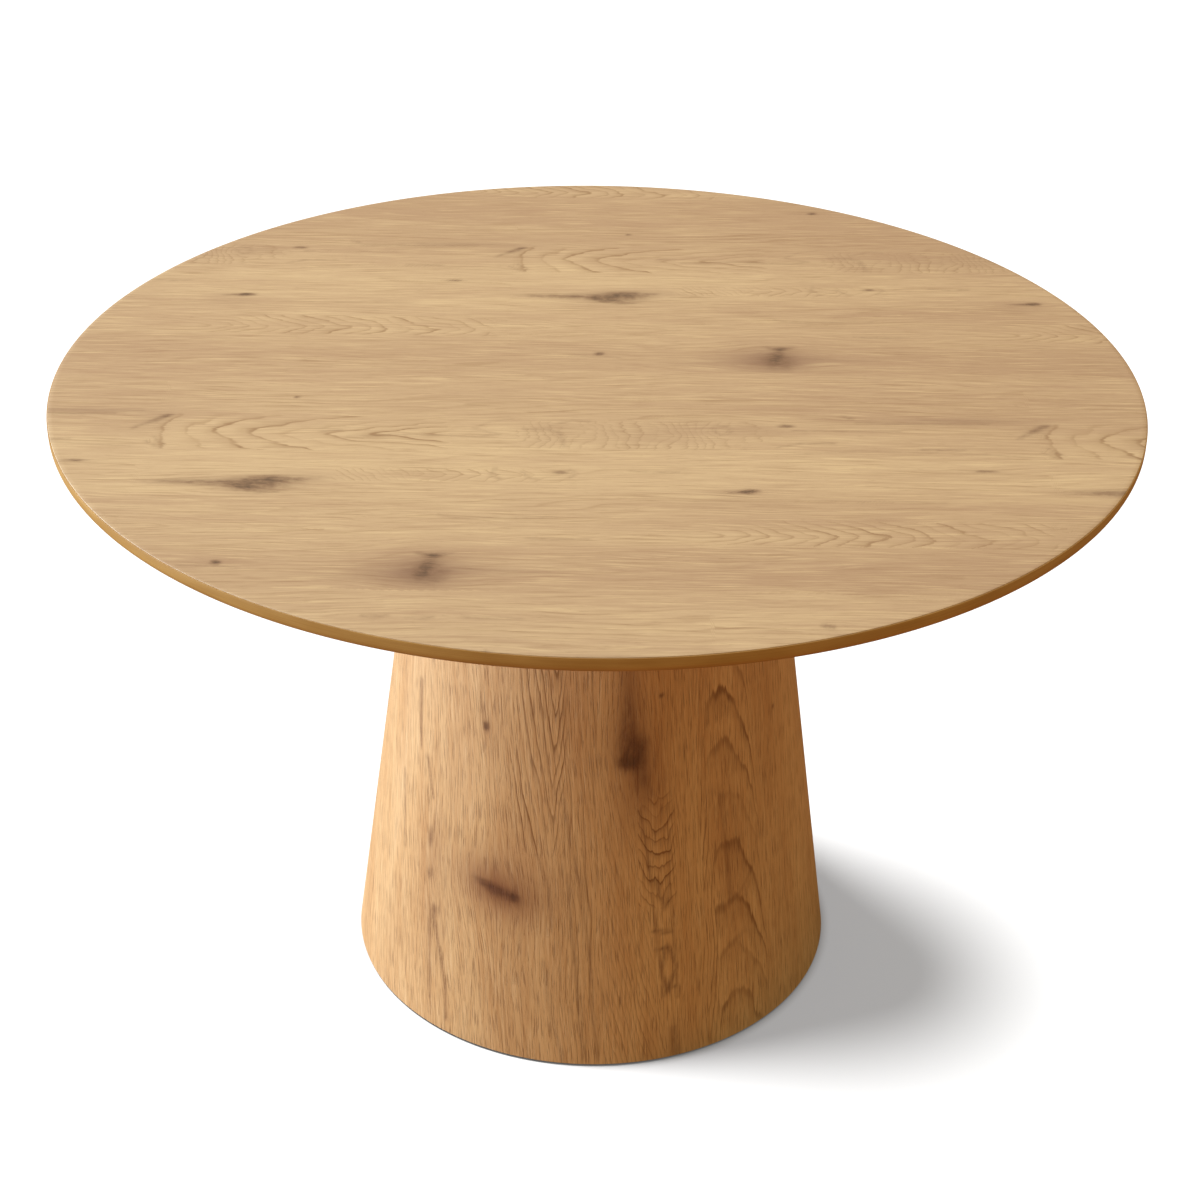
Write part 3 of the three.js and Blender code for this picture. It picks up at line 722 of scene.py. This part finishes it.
COLUMN_LOOK = {
    "along": 1, "across": 0, "specular": 0.30, "rough": 0.55, "bump": 0.45,
    "pale": srgb(226, 180, 125), "deep": srgb(196, 143, 91), "bright": srgb(238, 198, 148),
    "ring": srgb(128, 82, 42), "stain": srgb(132, 78, 44), "rim": srgb(98, 56, 32),
    "heart": srgb(52, 30, 20), "pore": srgb(112, 70, 36),
    "ragged": 0.16, "tone_gain": 0.40, "broad": 0.16, "streak": 0.22, "fibre": 0.22,
    "hair_length": 0.070, "hair_width": 0.0015, "hair_share": 0.36, "ring_waver": 0.07, "ring_least": 0.35,
    "ring_start": 0.3, "ring_share": 0.84, "pore_length": 0.034, "pore_width": 0.0012,
    "pore_edge": 0.47, "pore_share": 0.46, "stain_share": 0.62, "rim_share": 0.78, "heart_share": 0.45,
}


def mottled(name, specular, tones, cloud, fine, rough, bump, distance, flecks=(), metallic=0.0):
    """Two tones that drift in clouds, a fine relief and flecks of other tones. Noise is a stretch, a detail and
    a roughness. A fleck is its own noise, or None for the fine one, where it starts and ends, its share, its tone."""
    f = Finish(name, Specular_IOR_Level=specular, Metallic=metallic)

    def noise(stretch, detail, roughness=0.5):
        return f.noise(f.place(stretch=stretch), detail=detail, roughness=roughness)

    fine = noise(*fine)
    colour = f.mix(f.remap(noise(*cloud[0]), *cloud[1]), *tones)
    for own, low, high, share, tone in flecks:
        colour = f.mix(f.remap(noise(*own) if own else fine, low, high, 0.0, share), colour, tone)
    return f.finish(colour, f.spread(fine, *rough), fine, bump, distance)


def softwood():
    """Planed spruce, with its grain along the posts."""
    f = Finish("softwood", Specular_IOR_Level=0.3)
    ring = f.noise(f.place(stretch=(75, 75, 1.5)), detail=2.0, roughness=0.4, distortion=0.6)
    fibre = f.noise(f.place(stretch=(900, 900, 22)), detail=4.0, roughness=0.6)
    turn = f.calc("FRACT", f.times(ring, 9.0))
    late = f.times(f.remap(turn, 0.3, 0.85), f.remap(turn, 0.9, 1.0, 1.0, 0.0))
    colour = f.mix(f.remap(fibre, *WIDE), srgb(212, 184, 138), srgb(226, 201, 158))
    colour = f.mix(f.times(late, 0.6), colour, srgb(184, 142, 90))
    rough = f.spread(fibre, 0.6, 0.75)
    return f.finish(colour, rough, fibre, bump=0.2, distance=0.0004)


OAK_TOP = oak_print("oak_decor_top", TOP_LOOK)
OAK_COLUMN = oak_print("oak_decor_column", COLUMN_LOOK)
EDGE_FOIL = mottled(  # plain ochre edging with faint level streaks
    "edge_foil", 0.35, (srgb(172, 126, 62), srgb(184, 139, 74)),
    cloud=(((14, 14, 60), 3), WIDE), fine=((9, 9, 1400), 4, 0.6), rough=(0.42, 0.52), bump=0.08, distance=0.0003,
    flecks=[(None, 0.35, 0.7, 0.35, srgb(150, 104, 46))])
BACKING = mottled(  # matt impregnated paper with cloudy fibres
    "backing_paper", 0.3, (srgb(196, 172, 136), srgb(208, 186, 152)),
    cloud=(((22, 22, 22), 5, 0.6), (0.35, 0.65)), fine=((420, 900, 600), 4, 0.7), rough=(0.68, 0.82),
    bump=0.12, distance=0.0003, flecks=[(None, 0.55, 0.75, 0.3, srgb(176, 150, 114))])
FIBREBOARD = mottled(  # sawn fibreboard, a felt of short light and dark fibres
    "fibreboard", 0.2, (srgb(158, 125, 88), srgb(176, 143, 104)),
    cloud=(((30, 30, 30), 4), WIDE), fine=((700, 700, 900), 6, 0.75), rough=(0.82, 0.95),
    bump=0.35, distance=0.0006, flecks=[
        (None, 0.45, 0.75, 0.55, srgb(120, 90, 60)),
        (((160, 160, 340), 4, 0.7), 0.60, 0.78, 0.45, srgb(206, 178, 138))])
SOFTWOOD = softwood()
ZINC = mottled(  # zinc-plated steel with a faint yellow cast and fine scratches
    "zinc_steel", 0.5, (srgb(186, 188, 190), srgb(206, 203, 192)), metallic=1.0,
    cloud=(((160, 160, 160), 4), WIDE), fine=((1800, 2400, 400), 3, 0.7), rough=(0.24, 0.46),
    bump=0.1, distance=0.0002)
NYLON = mottled(  # moulded nylon with a fine spark-eroded grain
    "black_nylon", 0.4, (srgb(24, 24, 25), srgb(38, 38, 39)),
    cloud=(((120, 120, 120), 2), WIDE), fine=((1500, 1500, 1500), 3, 0.6), rough=(0.48, 0.68),
    bump=0.25, distance=0.0003)


# ---------------------------------------------------------------- tabletop


def disc_grid(cells, radius):
    """A disc of cells: points, faces and the indices round its edge. Rings of squares become circles."""
    a, b = np.meshgrid(*[np.linspace(-1, 1, count + 1) for count in cells], indexing="ij")
    wide = np.abs(a) > np.abs(b)
    safe_a, safe_b = np.where(a == 0, 1, a), np.where(b == 0, 1, b)
    reach = np.where(wide, a, b)
    angle = np.where(wide, math.pi / 4 * b / safe_a, math.pi / 2 - math.pi / 4 * a / safe_b)
    x, y = radius * reach * np.cos(angle), radius * reach * np.sin(angle)
    index = np.arange(a.size).reshape(a.shape)
    corners = [index[:-1, :-1], index[1:, :-1], index[1:, 1:], index[:-1, 1:]]
    faces = np.stack(corners, -1).reshape(-1, 4)
    edge = [*index[:-1, 0], *index[-1, :-1], *index[:0:-1, -1], *index[0, :0:-1]]
    return x.ravel(), y.ravel(), faces.tolist(), edge


def make_top_sheet():
    """The oak sheet, with its upper edge eased into the edge band."""
    ease = 0.45 * MM
    top, low = sheet_high.z, sheet_low.z
    x, y, faces, edge = disc_grid(TOP_CELLS, SHEET_RADIUS - ease)
    points = list(zip(x, y, np.full(len(x), top)))
    direction = np.array([(x[i], y[i]) for i in edge])
    direction /= np.linalg.norm(direction, axis=1)[:, None]
    rim = arc(SHEET_RADIUS - ease, top - ease, ease, 90, 0, 3)[1:] + [(SHEET_RADIUS, low)]
    rings = [edge]
    for radius, height in rim:
        rings.append(list(range(len(points), len(points) + len(edge))))
        points += [(radius * dx, radius * dy, height) for dx, dy in direction]
    faces += skin(rings[::-1]) + [rings[-1][::-1]]
    flat = np.array(points)[:, :2] / MM
    fields = top_fields(flat[:, 0], flat[:, 1])
    return make_piece("tabletop_oak_sheet", points, faces, OAK_TOP,
                      replaces=["tabletop_decor_sheet"], fields=fields, sharp=60)


def make_edge_band():
    """The ochre band: a small eased corner above, a straight face and a large round below."""
    points = node_points("tabletop_edge_band")
    radii = np.hypot(points[:, 0], points[:, 1])
    inner = radii.min()
    lip = radii[points[:, 2] > band_high.z - 0.01 * MM].min()
    thickness = TOP_RADIUS - lip
    round_radius = TOP_RADIUS - inner
    centre_z = band_low.z + round_radius
    ease = 0.2 * MM
    outline = arc(inner, centre_z, round_radius, -90, 0, 14)
    outline += arc(TOP_RADIUS - ease, band_high.z - ease, ease, 0, 90, 3)
    outline += [(lip, band_high.z)]
    outline += arc(inner, centre_z, round_radius - thickness, 0, -90, 10)
    points, faces = turned(outline, BAND_SEGMENTS)
    return make_piece("tabletop_ochre_band", points, faces, EDGE_FOIL,
                      replaces=["tabletop_edge_band"])


# ---------------------------------------------------------------- column


def make_column_sheet():
    """The oak sheet wrapped round the column, open at its seam at the back."""
    seam = math.radians(90)
    half_seam = np.abs(column_points[column_points[:, 1] > 0][:, 0]).min() / FOOT_RADIUS
    angles = np.linspace(seam - TURN + half_seam, seam - half_seam, COLUMN_CELLS[0] + 1)
    heights = np.linspace(column_low.z, column_high.z, COLUMN_CELLS[1] + 1)
    profile = [(column_radius(h), h) for h in heights]
    profile += [(column_radius(h) - SHEET_THICKNESS, h) for h in (heights[-1], heights[0])]
    count = len(profile)
    radius, height = np.array(profile).T
    points = np.stack([
        np.outer(np.cos(angles), radius), np.outer(np.sin(angles), radius),
        np.broadcast_to(height, (len(angles), count)),
    ], -1).reshape(-1, 3)
    index = np.arange(len(points)).reshape(-1, count)
    onward = np.roll(index, -1, axis=1)
    faces = np.stack([index[:-1], index[1:], onward[1:], onward[:-1]], -1).reshape(-1, 4).tolist()
    faces += [index[0].tolist(), index[-1, ::-1].tolist()]
    fields = column_fields(np.degrees(np.repeat(angles, count)), points[:, 2] / MM)
    return make_piece("column_oak_sheet", points, faces, OAK_COLUMN,
                      replaces=["column_decor_sheet"], fields=fields)


# ---------------------------------------------------------------- hardware


M8_RADIUS, M8_PITCH = 4 * MM, 1.25 * MM


def capped(points, rings):
    """Points and faces of a bar of rings, closed at both ends."""
    return points, skin(rings) + [rings[0][::-1], rings[-1]]


def prism(sides, flats, low, high, chamfer):
    """A bar with flat sides between two heights, its corners turned off at both ends."""
    corner = flats / 2 / math.cos(math.pi / sides)
    turned_off = flats / 2 * 0.96  # the round that the end faces are turned down to

    def reach(level, angle):
        _, height, inward = level
        side = flats / 2 / math.cos(angle % (TURN / sides) - math.pi / sides)
        if not inward:
            return min(side, turned_off), height
        return side, height + inward * chamfer * max(0, side - turned_off) / (corner - turned_off)

    levels = [(corner, low, 0), (corner, low, 1), (corner, high, -1), (corner, high, 0)]
    segments = 8 * sides  # eight across each flat side
    return capped(*round_rings(levels, segments, reach))


def thread(radius, depth, pitch, low, high, segments=24, point=None):
    """A bar with a screw thread cut in it: one wall whose radius follows the helix. point is a tip's length."""
    blunt, least = 0.3 * MM, 0.15 * MM

    def reach(level, angle):
        height = level[1]
        wave = abs(((height / pitch - angle / TURN) % 1) * 2 - 1)
        fade = min(1, (height - low) / pitch, (high - height) / pitch)
        narrowing = min(1, (high - height + blunt) / point) if point else 1
        return max((radius - depth * wave * fade) * narrowing, least), height

    rows_per_turn = 6
    rows = max(2, round((high - low) / pitch * rows_per_turn))
    levels = [(radius, low + (high - low) * row / rows) for row in range(rows + 1)]
    return capped(*round_rings(levels, segments, reach))


def joined(*parts):
    """Several closed shapes as one list of points and faces."""
    points, faces = [], []
    for part_points, part_faces in parts:
        first = len(points)
        points += part_points
        faces += [tuple(i + first for i in face) for face in part_faces]
    return points, faces


def cut_piece(piece, tool_points, tool_faces):
    """Cuts a closed shape out of a piece, and clears the slivers that this leaves."""
    sliver = 0.001 * MM
    mesh = bpy.data.meshes.new("cutter")
    mesh.from_pydata([tuple(p) for p in tool_points], [], [tuple(f) for f in tool_faces])
    tool = bpy.data.objects.new("cutter", mesh)
    bpy.context.scene.collection.objects.link(tool)
    modifier = piece.modifiers.new("cut", "BOOLEAN")
    modifier.operation = "DIFFERENCE"
    modifier.object = tool
    modifier.solver = "EXACT"
    graph = bpy.context.evaluated_depsgraph_get()
    result = bpy.data.meshes.new_from_object(piece.evaluated_get(graph))
    clean = bmesh.new()
    clean.from_mesh(result)
    bmesh.ops.remove_doubles(clean, verts=clean.verts, dist=sliver)
    bmesh.ops.dissolve_degenerate(clean, edges=clean.edges, dist=sliver)
    clean.to_mesh(result)
    clean.free()
    piece.modifiers.clear()
    old = piece.data
    piece.data = result
    result.name = old.name
    bpy.data.objects.remove(tool)
    bpy.data.meshes.remove(mesh)
    result.set_sharp_from_angle(angle=math.radians(30))


def make_pads():
    """Moulded pads: a soft upper edge, a waist under the rim and a shallow dished sole."""
    dish, dish_radius, sole_radius = 0.35 * MM, 10.5 * MM, 11 * MM
    sole_round, shoulder_round, neck_round = 1.2 * MM, 0.8 * MM, 1.4 * MM
    shoulder, waist, neck = 2.6 * MM, 4.2 * MM, 4.6 * MM  # heights
    neck_radius = 9.5 * MM
    hub, hub_ease, seat = 4.3 * MM, 0.5 * MM, 2.8 * MM
    for k in range(1, 7):
        node = f"levelling_foot_pad_{k}"
        low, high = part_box(node)
        radius = (high.x - low.x) / 2
        outline = [(0, dish), (dish_radius, dish), (sole_radius, 0)]
        outline += arc(radius - sole_round, sole_round, sole_round, -90, 0, 5)
        outline += [(radius, shoulder)]
        outline += arc(radius - shoulder_round, shoulder, shoulder_round, 0, 70, 4)[1:]
        outline += [(radius - 2 * neck_round, waist)]
        outline += arc(neck_radius, neck, neck_round, 10, 90, 4)
        outline += [(hub + hub_ease, high.z), (hub, high.z - hub_ease), (hub, seat), (0, seat)]
        points, faces = turned(outline, HARDWARE_SEGMENTS)
        make_piece(f"foot_pad_{k}", moved(points, *node_axis(node)), faces, NYLON,
                   body=f"levelling_pad_{k}", replaces=[node], sharp=50)


def make_stems():
    """Threaded stems, each with a hexagon for a spanner."""
    hex_flats, hex_low, hex_high, hex_chamfer = 13 * MM, 6.3 * MM, 9.3 * MM, 0.5 * MM
    ball, ball_ease, inside, groove = 3.8 * MM, 0.4 * MM, 0.5 * MM, 0.6 * MM
    for k in range(1, 7):
        node = f"levelling_foot_stem_{k}"
        low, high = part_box(node)
        stem = thread(M8_RADIUS, groove, M8_PITCH, hex_high - inside, high.z)
        plain = turned([(0, low.z), (ball - ball_ease, low.z), (ball, low.z + ball_ease),
                        (ball, hex_low + inside), (0, hex_low + inside)], 24)
        points, faces = joined(stem, plain, prism(6, hex_flats, hex_low, hex_high, hex_chamfer))
        make_piece(f"foot_stem_{k}", moved(points, *node_axis(node)), faces, ZINC,
                   body=f"levelling_stem_{k}", replaces=[node], sharp=30)


def make_wood_screws():
    """Countersunk wood screws with a cross recess, heads down in the foot ring and up in the top disc."""
    head, head_depth, edge, edge_ease = 4.4 * MM, 3.2 * MM, 0.3 * MM, 0.15 * MM
    neck, neck_end, overlap = 1.7 * MM, 8 * MM, 0.5 * MM
    radius, groove, pitch, tip = 2.2 * MM, 0.55 * MM, 2.4 * MM, 6 * MM
    recess = (1.9 * MM, 0.42 * MM, 1.6 * MM)  # half length, half width, depth
    turn_on = 20  # degrees that each screw's recess is turned on from the one before
    for kind, downward in (("foot_ring_screw", False), ("top_disc_screw", True)):
        for k in range(1, 7):
            node = f"{kind}_{k}"
            x, y = node_axis(node)
            low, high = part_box(node)
            length = high.z - low.z
            top = turned([(0, 0), (head - edge_ease, 0), (head, edge), (neck, head_depth),
                          (neck, neck_end), (0, neck_end)], 32)
            shank = thread(radius, groove, pitch, neck_end - overlap, length, 16, point=tip)
            points, faces = joined(top, shank)
            if downward:
                points = [(px, -py, length - pz) for px, py, pz in points]
            piece = make_piece(f"wood_{kind}_{k}", moved(points, x, y, low.z), faces, ZINC,
                               replaces=[node], sharp=30)
            face = high.z if downward else low.z
            for turn in (0, 90):
                points, faces = cross_bar(*recess, math.radians(turn + turn_on * k))
                cut_piece(piece, moved(points, x, y, face), faces)


def cross_bar(half_length, half_width, depth, angle):
    """A bar that tapers with depth to both sides of height 0, to cut one stroke of a cross recess."""
    points, tapered = [], 0.45
    for height, share in ((-depth, tapered), (0, 1.0), (depth, tapered)):
        for sx, sy in ((-1, -1), (1, -1), (1, 1), (-1, 1)):
            px, py = sx * half_length * share, sy * half_width
            points.append((px * math.cos(angle) - py * math.sin(angle),
                           px * math.sin(angle) + py * math.cos(angle), height))
    return capped(points, [[0, 1, 2, 3], [4, 5, 6, 7], [8, 9, 10, 11]])


def make_top_bolts():
    """Socket-head bolts with knurled heads, and the washers under them."""
    head_radius, head_height, socket_flats, socket_depth = 6.5 * MM, 8 * MM, 6 * MM, 4 * MM
    washer_radius, washer_hole, washer_ease = 12 * MM, 4.3 * MM, 0.25 * MM
    socket_chamfer, overrun, overlap, groove = 0.1 * MM, 1 * MM, 0.5 * MM, 0.55 * MM
    for k in range(1, 5):
        node = f"tabletop_bolt_{k}"
        x, y = node_axis(node)
        low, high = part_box(node)
        neck = low.z + head_height
        points, faces = knurled_head(head_radius, low.z, neck)
        piece = make_piece(f"top_bolt_{k}", moved(points, x, y), faces, ZINC, replaces=[node])
        points, faces = prism(6, socket_flats, low.z - overrun, low.z + socket_depth, socket_chamfer)
        cut_piece(piece, moved(points, x, y), faces)
        points, faces = thread(M8_RADIUS, groove, M8_PITCH, neck - overlap, high.z)
        make_piece(f"top_bolt_thread_{k}", moved(points, x, y), faces, ZINC, sharp=30)
        washer = f"bolt_washer_{k}"
        low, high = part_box(washer)
        outline = arc(washer_radius - washer_ease, low.z + washer_ease, washer_ease, -90, 0, 3)
        outline += [(washer_radius, high.z), (washer_hole, high.z)]
        outline += arc(washer_hole + washer_ease, low.z + washer_ease, washer_ease, 180, 270, 3)
        points, faces = turned(outline, HARDWARE_SEGMENTS)
        make_piece(f"top_washer_{k}", moved(points, x, y), faces, ZINC, replaces=[washer])


def knurled_head(radius, low, high):
    """A round head whose wall carries fine upright ridges."""
    ridges, ridge, steps = 36, 0.15 * MM, 4  # each ridge and its groove take this many steps
    lower_bevel, upper_bevel = (0.6 * MM, 0.5 * MM), (0.45 * MM, 0.3 * MM)  # how far in, how far up
    wall = radius - ridge

    def reach(level, angle):
        r, height, ridged = level
        raised = ridged and round(angle / TURN * ridges * steps) % steps < steps / 2
        return r + (ridge if raised else 0), height

    levels = [(0, low, False), (radius - lower_bevel[0], low, False), (wall, low + lower_bevel[1], True),
              (wall, high - upper_bevel[1], True), (radius - upper_bevel[0], high, False), (0, high, False)]
    points, rings = round_rings(levels, ridges * steps, reach)
    return points, skin(rings)


# ---------------------------------------------------------------- CAD nodes that keep their own shape


def dress_cad_nodes():
    """Gives every CAD node that still shows its procedural material."""
    kinds = [
        ("tabletop_backing_sheet", BACKING), ("tabletop_core", FIBREBOARD), ("column_panel", FIBREBOARD),
        ("column_top_disc", FIBREBOARD), ("column_middle_ring", FIBREBOARD), ("column_foot_ring", FIBREBOARD),
        ("column_post", SOFTWOOD), ("tabletop_insert", ZINC), ("foot_insert", ZINC),
    ]
    for name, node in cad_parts.items():
        for prefix, material in kinds:
            if name.startswith(prefix):
                node.data.materials.clear()
                node.data.materials.append(material)


# ---------------------------------------------------------------- studio


FLOOR_SEEN = (0.24, 0.24, 0.24, 1)
FLOOR_GLOW = (0.30, 0.31, 0.33, 1)  # keeps the shadow on the floor pale; only the camera sees it
FLOOR_BOUNCE = (0.09, 0.04, 0.015, 1)  # the warm light that the floor throws back on the column
FLOOR_SHADE_REACH = 12 * MM  # the floor's glow fades to a painted contact shadow where a piece is nearer than this
FLOOR_REACH = 60
ROOM_SEEN = (1, 1, 1, 1)
ROOM_LIGHT = (0.53, 0.47, 0.31, 1)
SOFTBOXES = [  # name, width, height, distance, azimuth, elevation, watts, colour
    ("softbox_left", 6.4, 1.6, 6.0, 174, 14, 690, (0.78, 1.0, 1.27)),
    ("softbox_overhead", 3.0, 3.0, 4.0, 90, 80, 65, (1.0, 0.95, 1.0)),
]
FLOOR_LAMP = (162, 64, 8, 17, 12.9)  # azimuth, elevation, distance, width as seen from the floor, strength
LAMP_AIM = (0, 0, 0.4)


def seen_or_lit(tree, seen, lit):
    """A switch between the colour that the camera sees straight on and the one that lights the scene."""
    path = tree.nodes.new("ShaderNodeLightPath")
    choice = tree.nodes.new("ShaderNodeMix")
    choice.data_type = "RGBA"
    choice.inputs[6].default_value = lit
    choice.inputs[7].default_value = seen
    tree.links.new(path.outputs["Is Camera Ray"], choice.inputs[0])
    return choice.outputs[2]


def make_floor():
    """A very large matt floor that shows white."""
    f = Finish("floor_white", Specular_IOR_Level=0.0, Roughness=1.0, Emission_Strength=1.0)
    # Painted contact shadow: the camera-only glow dims where a piece stands close to the floor.
    open_share = f.node("ShaderNodeAmbientOcclusion", {"Distance": FLOOR_SHADE_REACH}, output=1, samples=8)
    glow = f.mix(open_share, (0, 0, 0, 1), seen_or_lit(f.tree, FLOOR_GLOW, (0, 0, 0, 1)))
    f.tree.links.new(glow, f.surface.inputs["Emission Color"])
    material = f.finish(seen_or_lit(f.tree, FLOOR_SEEN, FLOOR_BOUNCE))
    corners = [(x * FLOOR_REACH, y * FLOOR_REACH, 0) for x, y in ((-1, -1), (1, -1), (1, 1), (-1, 1))]
    mesh = bpy.data.meshes.new("studio_floor")
    mesh.from_pydata(corners, [], [(0, 1, 2, 3)])
    mesh.materials.append(material)
    floor = bpy.data.objects.new("studio_floor", mesh)
    bpy.context.scene.collection.objects.link(floor)
    return floor


def group_of(name, members):
    """A collection that a lamp's light is linked to."""
    group = bpy.data.collections.new(name)
    for member in members:
        group.objects.link(member)
    return group


def make_lamp(data, azimuth, elevation, distance, lit):
    """Hangs a lamp that the camera doesn't see, aimed at the table, and limits it to what it lights."""
    lamp = bpy.data.objects.new(data.name, data)
    turn, rise = math.radians(azimuth), math.radians(elevation)
    away = Vector((math.cos(turn) * math.cos(rise), math.sin(turn) * math.cos(rise), math.sin(rise)))
    lamp.location = Vector(LAMP_AIM) + away * distance
    lamp.rotation_euler = (-away).to_track_quat("-Z", "Y").to_euler()
    lamp.visible_camera = False
    lamp.light_linking.receiver_collection = lit
    bpy.context.scene.collection.objects.link(lamp)
    return lamp


def make_light(floor):
    """A wide softbox from the left and a weak one overhead for the table, a lamp for the floor, and a dim room.
    The tabletop doesn't shade the floor's own lamp, so that the floor stays pale under it."""
    world = bpy.data.worlds.new("studio_room")
    bpy.context.scene.world = world
    world.use_nodes = True
    tree = world.node_tree
    tree.links.new(seen_or_lit(tree, ROOM_SEEN, ROOM_LIGHT), tree.nodes["Background"].inputs["Color"])
    table = [o for o in bpy.context.scene.objects if o.type == "MESH" and o != floor]
    column = [o for o in table if not o.name.startswith("tabletop")]
    lit_table = group_of("lit_table", table)
    for name, width, height, distance, azimuth, elevation, watts, colour in SOFTBOXES:
        data = bpy.data.lights.new(name, "AREA")
        data.shape = "RECTANGLE"
        data.size, data.size_y = width, height
        data.energy = watts
        data.color = colour
        make_lamp(data, azimuth, elevation, distance, lit_table)
    azimuth, elevation, distance, wide, strength = FLOOR_LAMP
    data = bpy.data.lights.new("floor_lamp", "SUN")
    data.angle = math.radians(wide)
    data.energy = strength
    lamp = make_lamp(data, azimuth, elevation, distance, group_of("lit_floor", [floor]))
    lamp.light_linking.blocker_collection = group_of("shade_floor", column)


CAMERA_PLACE = (0.0, -2.3502, 1.8325)
CAMERA_YAW = 0.0024
CAMERA_PITCH = 0.5288
CAMERA_ROLL = 0.01378
CAMERA_LENS = 69.49


def make_camera():
    """Looks down at the table from the front."""
    data = bpy.data.cameras.new("camera")
    data.sensor_width = 36
    data.lens = CAMERA_LENS
    camera = bpy.data.objects.new("camera", data)
    forward = Vector((math.sin(CAMERA_YAW) * math.cos(CAMERA_PITCH),
                      math.cos(CAMERA_YAW) * math.cos(CAMERA_PITCH), -math.sin(CAMERA_PITCH)))
    level = Vector((math.cos(CAMERA_YAW), -math.sin(CAMERA_YAW), 0))
    upward = level.cross(forward)
    right = level * math.cos(CAMERA_ROLL) + upward * math.sin(CAMERA_ROLL)
    up = upward * math.cos(CAMERA_ROLL) - level * math.sin(CAMERA_ROLL)
    turn = Matrix((right, up, -forward)).transposed().to_4x4()
    camera.matrix_world = Matrix.Translation(CAMERA_PLACE) @ turn
    bpy.context.scene.collection.objects.link(camera)
    bpy.context.scene.camera = camera


make_camera()
make_top_sheet()
make_edge_band()
make_column_sheet()
make_pads()
make_stems()
make_wood_screws()
make_top_bolts()
dress_cad_nodes()
make_light(make_floor())
bpy.context.scene.view_settings.view_transform = "Standard"
